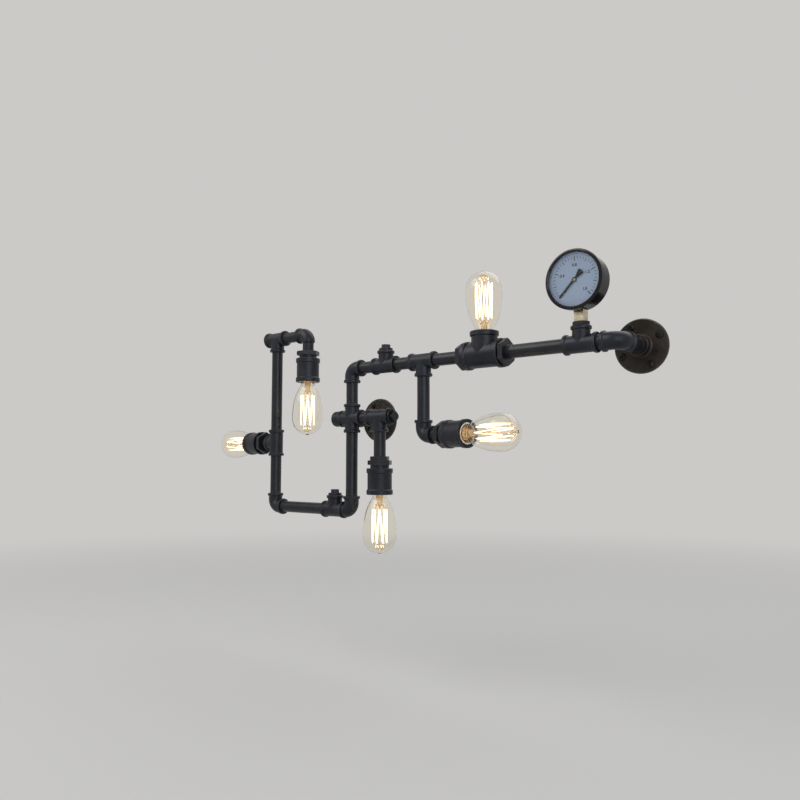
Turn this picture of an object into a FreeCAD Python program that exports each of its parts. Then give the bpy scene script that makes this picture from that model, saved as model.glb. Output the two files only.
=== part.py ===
"""Industrial pipe wall light: a frame of threaded half-inch pipe with five
lamps and a pressure gauge, held to the wall by two round floor flanges.

Frame: the origin is the centre of the left flange's back face, on the wall.
+X runs along the wall to the right, +Y goes into the wall, +Z is up.
"""

import math
import os

import FreeCAD
import Part
import Sketcher
from FreeCAD import Placement, Rotation, Vector

doc = FreeCAD.newDocument("pipe_wall_light")
sheet = doc.addObject("Spreadsheet::Sheet", "sizes")

# Driving dimensions, in millimetres, degrees or counts.
SIZES = {
    # where the pipe axes lie: the plane of the pipes stands off the wall
    "wall_distance": 79.0,
    "left_riser_x": -209.5,
    "main_run_z": 90.9,
    "bottom_run_z": -166.5,
    "top_arm_z": 168.0,
    "left_lamp_z": -41.0,
    "side_arm_z": -34.5,
    "top_lamp_x": -119.0,
    "down_lamp_x": 68.0,
    "plain_tee_x": 82.0,
    "drop_tee_x": 166.5,
    "big_tee_x": 290.0,
    "gauge_tee_x": 457.0,
    "right_elbow_gap": 58.0,
    "side_arm_turn": 9.5,
    "left_lamp_turn": 8.5,
    # visible lengths of the nipples behind three of the lamps
    "left_lamp_nipple": 10.5,
    "side_lamp_nipple": 18.5,
    "down_lamp_nipple": 43.5,
    # half-inch pipe and its threaded joints
    "pipe_dia": 21.3,
    "pipe_bore": 16.1,
    "thread_gap": 0.1,
    "thread_depth": 12.5,
    "socket_spare": 0.5,
    # half-inch fittings
    "fitting_dia": 26.4,
    "bead_dia": 30.6,
    "bead_width": 4.4,
    "bead_taper": 1.6,
    "tee_reach": 26.0,
    "elbow_reach": 25.5,
    "bend_radius": 14.0,
    "flow_bore": 17.0,
    "street_reach": 33.0,
    "low_street_reach": 16.5,
    # one-inch tee, reducing bushings and the couplings that serve as lamp cups
    "inch_thread_dia": 33.3,
    "big_tee_dia": 42.0,
    "big_bead_dia": 46.5,
    "big_bead_width": 7.0,
    "big_bead_taper": 2.0,
    "big_run_reach": 34.5,
    "big_branch_reach": 37.0,
    "big_flow_bore": 30.0,
    "upright_recess": 4.5,
    "big_thread_depth": 15.0,
    "run_hex_gap": 1.5,
    "hex_flats": 39.0,
    "hex_height": 8.0,
    "hex_chamfer": 1.4,
    "bush_neck": 6.0,
    "bush_insert": 12.0,
    "cup_length": 46.0,
    "cup_dia": 43.0,
    "cup_bead_width": 7.5,
    # three-quarter-inch step of the two bushings above the hanging lamp
    "mid_thread_dia": 26.4,
    "mid_hex_flats": 31.0,
    "mid_hex_height": 7.0,
    # plugs and the end cap
    "plug_collar_dia": 24.6,
    "plug_collar_height": 4.2,
    "plug_square": 15.0,
    "plug_square_height": 6.6,
    "plug_chamfer": 1.2,
    "cap_dia": 28.5,
    "cap_reach": 43.0,
    "cap_dome": 5.0,
    # lamp holder
    "holder_dia": 36.0,
    "holder_gap": 0.15,
    "holder_clear": 4.0,
    "holder_floor": 4.0,
    "holder_well": 29.2,
    "shell_wall": 0.5,
    "shell_height": 20.0,
    "contact_dia": 9.0,
    "contact_height": 1.5,
    # bulb
    "base_dia": 26.4,
    "base_height": 21.0,
    "base_tip_dia": 8.0,
    "base_tip_height": 2.5,
    "glass_dia": 59.0,
    "glass_neck_dia": 25.0,
    "glass_length": 105.0,
    "glass_widest": 70.0,
    "glass_wall": 0.9,
    "seal_tip_dia": 7.0,
    "seal_tip_height": 3.5,
    "stem_dia": 11.0,
    "stem_height": 30.0,
    "cage_dia": 29.0,
    "cage_foot_dia": 27.0,
    "cage_foot": 24.0,
    "cage_height": 60.0,
    "cage_wire_dia": 1.0,
    "cage_strands": 8,
    # wall flanges
    "flange_dia": 82.0,
    "flange_thickness": 6.0,
    "flange_hub_dia": 32.0,
    "flange_hub_height": 17.0,
    "flange_pcd": 64.0,
    "flange_hole_dia": 6.5,
    "flange_holes": 4,
    # pressure gauge
    "gauge_height": 91.1,
    "gauge_case_dia": 84.0,
    "gauge_back": 11.0,
    "gauge_front": 24.0,
    "gauge_wall": 2.0,
    "bezel_depth": 10.0,
    "bezel_side": 2.5,
    "bezel_cover": 2.5,
    "bezel_lip": 2.6,
    "dial_front": 16.5,
    "dial_thickness": 1.0,
    "gauge_glass_thickness": 2.0,
    "pointer_length": 33.0,
    "pointer_tail": 15.0,
    "pointer_width": 3.2,
    "pointer_tip_width": 0.9,
    "pointer_tail_width": 8.5,
    "pointer_lift": 1.4,
    "pointer_thickness": 0.8,
    "pointer_hub_dia": 7.0,
    "pointer_hub_height": 1.6,
    "pointer_rest": 225.0,
    "arbor_dia": 2.4,
    "arbor_gap": 0.05,
    "stem_square": 15.0,
    "gauge_hex_flats": 24.0,
    "gauge_hex_height": 6.0,
    "gauge_thread_dia": 13.0,
    "bourdon_dia": 52.0,
    "bourdon_tube_dia": 6.0,
    # cable inside the pipes
    "cable_dia": 6.0,
    "splice_dia": 10.0,
    "splice_length": 15.0,
    "cable_gap": 0.3,
}


def fill_sheet():
    """Writes each driving dimension to a cell and names the cell after it."""
    for row, (name, value) in enumerate(SIZES.items(), start=1):
        sheet.set(f"A{row}", name)
        sheet.set(f"B{row}", str(value))
        sheet.setAlias(f"B{row}", name)
    doc.recompute()


fill_sheet()


class Size:
    """A length with its value and the sheet expression that gives it."""

    def __init__(self, value, text):
        self.value = float(value)
        self.text = text

    @staticmethod
    def of(other):
        return other if isinstance(other, Size) else Size(other, repr(float(other)))

    def combine(self, other, sign, value):
        return Size(value, f"({self.text} {sign} {Size.of(other).text})")

    def __add__(self, other):
        return self.combine(other, "+", self.value + Size.of(other).value)

    def __radd__(self, other):
        return Size.of(other) + self

    def __sub__(self, other):
        return self.combine(other, "-", self.value - Size.of(other).value)

    def __rsub__(self, other):
        return Size.of(other) - self

    def __mul__(self, other):
        return self.combine(other, "*", self.value * Size.of(other).value)

    def __rmul__(self, other):
        return Size.of(other) * self

    def __truediv__(self, other):
        return self.combine(other, "/", self.value / Size.of(other).value)

    def __neg__(self):
        return 0.0 - self


def size(name):
    """The sheet's dimension of that name."""
    return Size(sheet.get(name), f"{sheet.Name}.{name}")


def radius(name):
    return size(name) / 2.0


def number(name):
    """A size as the plain number that the sheet holds, for a worked-out shape."""
    return float(sheet.get(name))


def bind(thing, path, value):
    """Sets a property of an object from a Size."""
    thing.setExpression(path, Size.of(value).text)


# Turns that take a local +Z to a direction of the frame.
TURNS = {
    "up": Rotation(Vector(0, 0, 1), 0),
    "down": Rotation(Vector(1, 0, 0), 180),
    "right": Rotation(Vector(0, 1, 0), 90),
    "left": Rotation(Vector(0, 1, 0), -90),
    "front": Rotation(Vector(1, 0, 0), 90),
    "back": Rotation(Vector(1, 0, 0), -90),
}
STEPS = {
    "up": (0, 0, 1),
    "down": (0, 0, -1),
    "right": (1, 0, 0),
    "left": (-1, 0, 0),
    "front": (0, -1, 0),
    "back": (0, 1, 0),
}
PIPE_Y = -size("wall_distance")


def place(thing, point=(0, 0, 0), rotation=TURNS["up"]):
    """Puts an object at a point of Sizes, turned by a rotation."""
    thing.Placement = Placement(Vector(0, 0, 0), rotation)
    for axis, value in zip("xyz", point):
        bind(thing, f".Placement.Base.{axis}", value)
    return thing


def along(point, direction, distance):
    """The point that lies a distance from another, in a named direction."""
    return tuple(p + distance * step for p, step in zip(point, STEPS[direction]))


# ---------------------------------------------------------------- primitives

def cylinder(radius_size, height, point=(0, 0, 0), direction="up"):
    """A round bar that starts at a point and runs in a direction."""
    bar = doc.addObject("Part::Cylinder", "bar")
    bind(bar, "Radius", radius_size)
    bind(bar, "Height", height)
    return place(bar, point, TURNS[direction])


def box(width, depth, height, point):
    """A block, centred in X and Y on a point and standing on it."""
    block = doc.addObject("Part::Box", "block")
    bind(block, "Length", width)
    bind(block, "Width", depth)
    bind(block, "Height", height)
    return place(block, (point[0] - width / 2, point[1] - depth / 2, point[2]))


def fuse(shapes):
    joined = doc.addObject("Part::MultiFuse", "joined")
    joined.Shapes = shapes
    joined.Refine = True
    return joined


def cut(base, tool):
    rest = doc.addObject("Part::Cut", "rest")
    rest.Base = base
    rest.Tool = tool
    return rest


def common(first, second):
    shared = doc.addObject("Part::MultiCommon", "shared")
    shared.Shapes = [first, second]
    return shared


def origin_feature(body, role):
    """The plane or axis of a body's origin that has this role."""
    for feature in body.Origin.OriginFeatures:
        if feature.Role == role:
            return feature
    raise ValueError(role)


def profile_sketch(body, points):
    """A closed outline on the body's XZ plane, each corner tied to the sheet.

    A point is (distance from the Z axis, height) as two Sizes.
    """
    sketch = body.newObject("Sketcher::SketchObject", "profile")
    sketch.AttachmentSupport = [(origin_feature(body, "XZ_Plane"), "")]
    sketch.MapMode = "FlatFace"
    corners = [(Size.of(r), Size.of(z)) for r, z in points]
    count = len(corners)
    for index in range(count):
        r0, z0 = corners[index]
        r1, z1 = corners[(index + 1) % count]
        start = Vector(r0.value, z0.value, 0)
        end = Vector(r1.value, z1.value, 0)
        sketch.addGeometry(Part.LineSegment(start, end), False)
    for index in range(count):
        previous = (index - 1) % count
        sketch.addConstraint(Sketcher.Constraint("Coincident", previous, 2, index, 1))
    for index, (r, z) in enumerate(corners):
        for kind, value in (("DistanceX", r), ("DistanceY", z)):
            rule = Sketcher.Constraint(kind, -1, 1, index, 1, value.value)
            number = sketch.addConstraint(rule)
            sketch.setExpression(f"Constraints[{number}]", value.text)
    return sketch


def new_body():
    return doc.addObject("PartDesign::Body", "body")


def revolve(body, points, kind="PartDesign::Revolution"):
    """Turns an outline round the body's Z axis, to add or to cut."""
    sketch = profile_sketch(body, points)
    feature = body.newObject(kind, "turned")
    feature.Profile = sketch
    feature.ReferenceAxis = (origin_feature(body, "Z_Axis"), [""])
    feature.Angle = 360
    body.Tip = feature
    return feature


def turned(points, point=(0, 0, 0), rotation=TURNS["up"]):
    """A turned piece: one outline swept round its axis."""
    body = new_body()
    revolve(body, points)
    return place(body, point, rotation)


def ring(inner, outer, low, high):
    """The outline of a plain ring."""
    return [(inner, low), (outer, low), (outer, high), (inner, high)]


# ------------------------------------------------------- half-inch pipework

PIPE_R = radius("pipe_dia")
SOCKET_R = PIPE_R + size("thread_gap")
SOCKET_DEPTH = size("thread_depth") + size("socket_spare")


def pipe_between(start, direction, length, gap_start, gap_end):
    """A pipe from one fitting's centre towards the next one's.

    length is centre to centre. The gaps are the fittings' reaches, and the
    pipe runs into each of them by the depth of the thread.
    """
    first = gap_start - size("thread_depth")
    last = gap_end - size("thread_depth")
    begin = along(start, direction, first)
    span = length - first - last
    outer = cylinder(PIPE_R, span, begin, direction)
    bore_start = along(begin, direction, -1.0)
    bore = cylinder(radius("pipe_bore"), span + 2.0, bore_start, direction)
    return cut(outer, bore)


def collar_outline(reach, body_r, bead_r, width, taper):
    """One leg of a fitting from its centre out to its rolled bead."""
    return [
        (0.0, 0.0),
        (body_r, 0.0),
        (body_r, reach - width - taper),
        (bead_r, reach - width),
        (bead_r, reach - size("bead_taper") / 2),
        (bead_r - size("bead_taper") / 2, reach),
        (0.0, reach),
    ]


def leg(point, direction, reach, body_r, bead_r, width, taper):
    return turned(
        collar_outline(reach, body_r, bead_r, width, taper), point, TURNS[direction]
    )


def small_leg(point, direction, reach):
    return leg(
        point,
        direction,
        reach,
        radius("fitting_dia"),
        radius("bead_dia"),
        size("bead_width"),
        size("bead_taper"),
    )


def socket(point, direction, reach):
    """The threaded bore in the end of a half-inch leg."""
    start = along(point, direction, reach - SOCKET_DEPTH)
    return cylinder(SOCKET_R, SOCKET_DEPTH + 1.0, start, direction)


def small_fitting(point, directions):
    """A tee or cross: legs, threaded sockets and the bore between them."""
    reach = size("tee_reach")
    legs = [small_leg(point, direction, reach) for direction in directions]
    sockets = [socket(point, direction, reach) for direction in directions]
    flow = radius("flow_bore")
    ways = [cylinder(flow, reach, point, direction) for direction in directions]
    return cut(fuse(legs), fuse(sockets + ways))


def bend(point, first, second, tube_r):
    """A quarter ring that leads from one direction into another."""
    radius_size = size("bend_radius")
    ring_part = doc.addObject("Part::Torus", "bend")
    bind(ring_part, "Radius1", radius_size)
    bind(ring_part, "Radius2", tube_r)
    ring_part.Angle3 = 90.0
    # the ring's centre lies inside the corner, away from the crossing point
    centre = along(along(point, first, radius_size), second, radius_size)
    across = Vector(*STEPS[second]) * -1
    back = Vector(*STEPS[first]) * -1
    turn = Rotation(across, back, across.cross(back), "XYZ")
    return place(ring_part, centre, turn)


def elbow(point, first, second):
    """A quarter bend with a beaded, threaded leg on each end."""
    reach = size("elbow_reach")
    start = size("bend_radius")
    outside = [bend(point, first, second, radius("fitting_dia"))]
    inside = [bend(point, first, second, radius("flow_bore"))]
    for direction in (first, second):
        foot = along(point, direction, start)
        outside.append(small_leg(foot, direction, reach - start))
        inside.append(cylinder(radius("flow_bore"), reach - start, foot, direction))
        inside.append(socket(point, direction, reach))
    return cut(fuse(outside), fuse(inside))


def street_elbow(point, first, second, male_reach):
    """A bend with a socket on the first leg and a male thread on the second.

    male_reach is how far the male leg shows, from the crossing of the axes.
    """
    reach = size("elbow_reach")
    start = size("bend_radius")
    length = male_reach + size("thread_depth") - start
    body_r = radius("fitting_dia")
    first_foot = along(point, first, start)
    second_foot = along(point, second, start)
    male = [
        (0.0, 0.0),
        (body_r, 0.0),
        (body_r, size("bead_taper") / 2),
        (PIPE_R, size("bead_taper") * 1.5),
        (PIPE_R, length),
        (0.0, length),
    ]
    outside = [
        bend(point, first, second, body_r),
        small_leg(first_foot, first, reach - start),
        turned(male, second_foot, TURNS[second]),
    ]
    way = radius("pipe_bore")
    inside = [
        bend(point, first, second, way),
        cylinder(way, reach - start, first_foot, first),
        cylinder(way, length + 1.0, second_foot, second),
        socket(point, first, reach),
    ]
    return cut(fuse(outside), fuse(inside))


# ------------------------------------------------------------ one-inch parts

INCH_R = radius("inch_thread_dia")
INCH_SOCKET_R = INCH_R + size("thread_gap")


def big_leg(point, direction, reach):
    return leg(
        point,
        direction,
        reach,
        radius("big_tee_dia"),
        radius("big_bead_dia"),
        size("big_bead_width"),
        size("big_bead_taper"),
    )


def big_tee(point):
    """The one-inch tee: bushings in its run, a lamp holder in its branch."""
    run, branch = size("big_run_reach"), size("big_branch_reach")
    depth = size("big_thread_depth") + size("socket_spare")
    flow = radius("big_flow_bore")
    outside = [
        big_leg(point, "left", run),
        big_leg(point, "right", run),
        big_leg(point, "up", branch),
    ]
    inside = [
        cylinder(flow, run * 2, along(point, "left", run), "right"),
        cylinder(flow, branch, point, "up"),
        holder_well(along(point, "up", branch - size("upright_recess")), "up"),
        cylinder(
            radius("holder_dia") + size("holder_gap"),
            size("upright_recess") + 1.0,
            along(point, "up", branch - size("upright_recess")),
        ),
    ]
    for direction in ("left", "right"):
        start = along(point, direction, run - depth)
        inside.append(cylinder(INCH_SOCKET_R, depth + 1.0, start, direction))
    return cut(fuse(outside), fuse(inside))


# What a cup has left for its holder, past the bushing and a clear space.
HOLDER_DEPTH = size("cup_length") - size("bush_insert") - size("holder_clear")


def holder_well(mouth, direction):
    """The wide bore that takes a lamp holder, down from a cup's mouth."""
    start = along(mouth, direction, -HOLDER_DEPTH)
    well_r = radius("holder_dia") + size("holder_gap")
    return cylinder(well_r, HOLDER_DEPTH + 1.0, start, direction)


# A hexagon's width across flats, over the radius of its corners.
HEX_SPREAD = math.sqrt(3.0)


def hex_head(flats, height, point, direction):
    """A hexagon with its corners turned off at both faces."""
    prism = doc.addObject("Part::Prism", "hexagon")
    prism.Polygon = 6
    bind(prism, "Circumradius", flats / HEX_SPREAD)
    bind(prism, "Height", height)
    place(prism, point, TURNS[direction])
    chamfer = size("hex_chamfer")
    corner_r = flats / HEX_SPREAD
    disc = turned(
        [
            (0.0, 0.0),
            (corner_r - chamfer, 0.0),
            (corner_r, chamfer * 0.6),
            (corner_r, height - chamfer * 0.6),
            (corner_r - chamfer, height),
            (0.0, height),
        ],
        point,
        TURNS[direction],
    )
    return common(prism, disc)


def bushing(point, direction, male_r, insert, flats, height, bore_r):
    """A reducing bushing that screws forward into the next, larger piece.

    point is the seat of the hexagon's outer face, where the smaller pipe
    comes in, and direction leads into the larger piece.
    """
    head = hex_head(flats, height, point, direction)
    shank_start = along(point, direction, height)
    shank = cylinder(male_r, insert, shank_start, direction)
    bore_start = along(point, direction, -1.0)
    mouth = cylinder(bore_r, SOCKET_DEPTH + 1.0, bore_start, direction)
    way = cylinder(radius("flow_bore"), height + insert + 2.0, bore_start, direction)
    return cut(fuse([head, shank]), fuse([mouth, way]))


def inch_bushing(point, direction, insert):
    return bushing(
        point,
        direction,
        INCH_R,
        insert,
        size("hex_flats"),
        size("hex_height"),
        SOCKET_R,
    )


def cup(mouth, direction):
    """A one-inch coupling: the bushing in its back, the holder in its front."""
    length = size("cup_length")
    body_r = radius("cup_dia")
    bead_r = radius("big_bead_dia")
    bead = size("cup_bead_width")
    taper = size("big_bead_taper")
    edge = size("bead_taper") / 2
    outline = [
        (0.0, -length),
        (bead_r - edge, -length),
        (bead_r, edge - length),
        (bead_r, bead - length),
        (body_r, bead + taper - length),
        (body_r, -(bead + taper)),
        (bead_r, -bead),
        (bead_r, -edge),
        (bead_r - edge, 0.0),
        (0.0, 0.0),
    ]
    outer = turned(outline, mouth, TURNS[direction])
    back = along(mouth, direction, -(length + 1.0))
    thread = cylinder(INCH_SOCKET_R, length + 2.0, back, direction)
    return cut(outer, fuse([thread, holder_well(mouth, direction)]))


# ------------------------------------------------------------ plugs and caps

def square_plug(point, direction):
    """A plug for a tee: threaded shank, round collar and square head.

    point is the face of the tee's end.
    """
    collar_h = size("plug_collar_height")
    side = size("plug_square")
    height = size("plug_square_height")
    chamfer = size("plug_chamfer")
    inner = along(point, direction, -size("thread_depth"))
    shank = cylinder(PIPE_R, size("thread_depth"), inner, direction)
    collar = cylinder(radius("plug_collar_dia"), collar_h, point, direction)
    block = doc.addObject("Part::Prism", "square")
    block.Polygon = 4
    bind(block, "Circumradius", side / 1.4142136)
    bind(block, "Height", height)
    place(block, along(point, direction, collar_h), TURNS[direction])
    corner_r = side / 1.4142136
    edge_r = corner_r - chamfer
    turned_top = turned(
        [
            (0.0, 0.0),
            (corner_r, 0.0),
            (corner_r, height - chamfer * 1.5),
            (edge_r - chamfer, height),
            (0.0, height),
        ],
        along(point, direction, collar_h),
        TURNS[direction],
    )
    return fuse([shank, collar, common(block, turned_top)])


def flush_plug(point, direction):
    """A plug that ends level with the tee's bead."""
    inner = along(point, direction, -size("thread_depth"))
    return cylinder(PIPE_R, size("thread_depth") - 1.0, inner, direction)


def end_cap(point, direction):
    """A domed cap screwed over the short nipple of the cross."""
    reach = size("cap_reach") - size("tee_reach") - size("socket_spare")
    outer_r = radius("cap_dia")
    dome = size("cap_dome")
    start = along(point, direction, size("tee_reach") + size("socket_spare"))
    outline = [
        (0.0, 0.0),
        (outer_r, 0.0),
        (outer_r, reach - dome),
        (outer_r - dome * 0.12, reach - dome * 0.55),
        (outer_r - dome * 0.5, reach - dome * 0.2),
        (outer_r - dome * 1.1, reach - dome * 0.04),
        (0.0, reach),
    ]
    outer = turned(outline, start, TURNS[direction])
    depth = reach - dome
    inner = along(start, direction, -1.0)
    return cut(outer, cylinder(SOCKET_R, depth + 1.0, inner, direction))


# --------------------------------------------------------------------- lamps

def lamp_pieces(mouth, direction):
    """The holder, its contacts and the bulb, from a cup's mouth outward."""
    turn = TURNS[direction]
    return {
        "holder": lamp_holder(mouth, turn),
        "contacts": holder_contacts(mouth, turn, direction),
        "base": bulb_base(mouth, turn),
        "glass": bulb_glass(mouth, direction),
        "filament": bulb_filament(mouth, direction),
    }


def lamp_holder(mouth, turn):
    """A white insulating cup with a floor that carries the contacts."""
    outer_r = radius("holder_dia")
    well_r = radius("holder_well")
    depth = HOLDER_DEPTH
    floor = size("holder_floor")
    rim = size("bead_taper") / 2
    return turned(
        [
            (0.0, -depth),
            (outer_r, -depth),
            (outer_r, -rim * 2),
            (outer_r - rim, -rim),
            (well_r + rim / 2, -rim),
            (well_r, -rim * 2),
            (well_r, floor - depth),
            (0.0, floor - depth),
        ],
        mouth,
        turn,
    )


CONTACT_LEVEL = size("holder_floor") - HOLDER_DEPTH


def holder_contacts(mouth, turn, direction):
    """The screw shell and the centre contact, two separate pieces of brass."""
    outer_r = radius("holder_well") - size("holder_gap")
    inner_r = outer_r - size("shell_wall")
    low = CONTACT_LEVEL
    high = low + size("shell_height")
    shell = turned(ring(inner_r, outer_r, low, high), mouth, turn)
    start = along(mouth, direction, low)
    contact_r = radius("contact_dia")
    centre = cylinder(contact_r, size("contact_height"), start, direction)
    group = doc.addObject("Part::Compound", "contacts")
    group.Links = [shell, centre]
    return group


BASE_LOW = CONTACT_LEVEL + size("contact_height")


def bulb_base(mouth, turn):
    """The bulb's screw shell with its tapered foot and centre tip."""
    base_r = radius("base_dia")
    tip_r = radius("base_tip_dia")
    low = BASE_LOW
    foot = low + size("base_tip_height")
    top = foot + size("base_height")
    rim = size("shell_wall")
    return turned(
        [
            (0.0, low),
            (tip_r, low),
            (tip_r + 0.5, foot - 1.0),
            (base_r - 1.5, foot + 1.0),
            (base_r, foot + 2.5),
            (base_r, top),
            (radius("glass_neck_dia") + rim / 4, top),
            (radius("glass_neck_dia") + rim / 4, top - 6.0),
            (0.0, top - 6.0),
        ],
        mouth,
        turn,
    )


# Shares of the bulb's height and width that set how its curves swell.
FLARE_FOOT = 0.10
FLARE_BELT = 0.72
DOME_BELT = 0.55
DOME_CROWN = 0.60
NECK_HEIGHT = 8.5


def glass_outline(inset):
    """Half the bulb's outline: neck, long flare, widest belt and dome.

    The belt and the dome are arcs, and the flare is one curve between the
    neck and the belt. inset moves the outline inward by the wall.
    """
    neck_r = number("glass_neck_dia") / 2 - inset
    belt_r = number("glass_dia") / 2 - inset
    belt_z = number("glass_widest")
    top_z = number("glass_length") - number("seal_tip_height") - inset
    foot_z = BASE_LOW.value + number("base_tip_height") + number("base_height") - 5.8
    neck_top = foot_z + NECK_HEIGHT
    neck = Part.LineSegment(Vector(neck_r, 0, foot_z), Vector(neck_r, 0, neck_top))
    flare = Part.BezierCurve()
    rise = belt_z - neck_top
    flare.setPoles([
        Vector(neck_r, 0, neck_top),
        Vector(neck_r, 0, neck_top + rise * FLARE_FOOT),
        Vector(belt_r, 0, belt_z - rise * FLARE_BELT),
        Vector(belt_r, 0, belt_z),
    ])
    dome = Part.BezierCurve()
    lift = top_z - belt_z
    dome.setPoles([
        Vector(belt_r, 0, belt_z),
        Vector(belt_r, 0, belt_z + lift * DOME_BELT),
        Vector(belt_r * DOME_CROWN, 0, top_z),
        Vector(0, 0, top_z),
    ])
    return [neck, flare, dome], foot_z, neck_r, top_z


def bulb_glass(mouth, direction):
    """The blown envelope: a thin shell of revolution with a seal tip."""
    outer, foot_z, outer_r, top_z = glass_outline(0.0)
    inner, _, inner_r, inner_top = glass_outline(number("glass_wall"))
    foot = Part.LineSegment(Vector(outer_r, 0, foot_z), Vector(inner_r, 0, foot_z))
    axis = Part.LineSegment(Vector(0, 0, inner_top), Vector(0, 0, top_z))
    edges = [curve.toShape() for curve in outer + inner + [foot, axis]]
    wire = Part.Wire(Part.__sortEdges__(edges))
    origin = Vector(0, 0, 0)
    shell = Part.Face(wire).revolve(origin, Vector(0, 0, 1), 360)
    tip_r = number("seal_tip_dia") / 2
    tip_h = number("seal_tip_height") + number("glass_wall") / 2
    tip_z = top_z - number("glass_wall") / 2
    tip = Part.makeCone(tip_r, tip_r * 0.35, tip_h, Vector(0, 0, tip_z))
    return part_feature(shell.fuse(tip), mouth, direction)


def part_feature(shape, point, direction):
    """A piece whose shape is worked out here, then set in its place."""
    piece = doc.addObject("Part::Feature", "piece")
    piece.Shape = shape
    return place(piece, point, TURNS[direction])


def bulb_filament(mouth, direction):
    """The glass stem and the cage of wire that hangs round its rod."""
    foot_z = BASE_LOW.value + number("base_tip_height") + number("base_height") - 6.0
    stem_r = number("stem_dia") / 2
    stem_top = number("stem_height")
    flare_r = number("glass_neck_dia") / 2 - number("glass_wall") - 0.3
    stem = Part.makeCone(flare_r, stem_r, 8.0, Vector(0, 0, foot_z))
    body = Part.makeCylinder(stem_r, stem_top - foot_z - 8.0, Vector(0, 0, foot_z + 8.0))
    wire_r = number("cage_wire_dia") / 2
    low = number("cage_foot")
    high = low + number("cage_height")
    rod = Part.makeCylinder(wire_r * 1.6, high - stem_top, Vector(0, 0, stem_top))
    solid = stem.fuse([body, rod])
    cage_r = number("cage_dia") / 2
    foot_r = number("cage_foot_dia") / 2
    count = int(number("cage_strands"))
    corners = []
    for index in range(count):
        turn = Rotation(Vector(0, 0, 1), 360.0 * index / count)
        levels = (low, high) if index % 2 == 0 else (high, low)
        for z in levels:
            out = foot_r if z == low else cage_r
            corners.append(turn.multVec(Vector(out, 0, z)))
    pieces = []
    for start, end in zip(corners, corners[1:]):
        pieces.append(rod_between(start, end, wire_r))
    for corner in corners:
        pieces.append(Part.makeSphere(wire_r, corner))
    for z, out, first in ((low, foot_r, 0), (high, cage_r, 1)):
        for index in range(first, count, 2):
            turn = Rotation(Vector(0, 0, 1), 360.0 * index / count)
            hook = turn.multVec(Vector(out, 0, z))
            centre = Vector(0, 0, z - wire_r * 2)
            pieces.append(rod_between(centre, hook, wire_r * 0.8))
    return part_feature(solid.fuse(pieces), mouth, direction)


def rod_between(start, end, rod_r):
    """A thin round wire between two points."""
    run = end - start
    return Part.makeCylinder(rod_r, run.Length, start, run)


# -------------------------------------------------------------- wall flanges

def wall_flange(point):
    """A round floor flange: thin disc, threaded hub and four screw holes."""
    body = new_body()
    disc_r = radius("flange_dia")
    thick = size("flange_thickness")
    hub_r = radius("flange_hub_dia")
    hub_h = size("flange_hub_height")
    edge = size("bead_taper") / 2
    revolve(
        body,
        [
            (SOCKET_R, 0.0),
            (disc_r, 0.0),
            (disc_r, thick * 0.6),
            (disc_r - edge * 2, thick),
            (hub_r + edge * 3, thick),
            (hub_r, thick + edge * 3),
            (hub_r, hub_h - edge),
            (hub_r - edge, hub_h),
            (SOCKET_R, hub_h),
        ],
    )
    sketch = body.newObject("Sketcher::SketchObject", "screw_hole")
    sketch.AttachmentSupport = [(origin_feature(body, "XY_Plane"), "")]
    sketch.MapMode = "FlatFace"
    pitch_r = radius("flange_pcd")
    hole = Part.Circle(Vector(pitch_r.value, 0, 0), Vector(0, 0, 1), 3.0)
    sketch.addGeometry(hole, False)
    for kind, args, value in (
        ("DistanceX", (-1, 1, 0, 3), pitch_r),
        ("Diameter", (0,), size("flange_hole_dia")),
    ):
        number = sketch.addConstraint(Sketcher.Constraint(kind, *args, value.value))
        sketch.setExpression(f"Constraints[{number}]", value.text)
    sketch.addConstraint(Sketcher.Constraint("PointOnObject", 0, 3, -1))
    pocket = body.newObject("PartDesign::Pocket", "screw_hole_cut")
    pocket.Profile = sketch
    pocket.Type = 1
    pocket.Midplane = True
    body.Tip = pocket
    doc.recompute()
    pattern = body.newObject("PartDesign::PolarPattern", "screw_holes")
    pattern.Originals = [pocket]
    pattern.Axis = (sketch, ["N_Axis"])
    pattern.Angle = 360
    bind(pattern, "Occurrences", size("flange_holes"))
    body.Tip = pattern
    turn = TURNS["front"].multiply(Rotation(Vector(0, 0, 1), 26))
    return place(body, point, turn)


# ------------------------------------------------------------ pressure gauge

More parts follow.
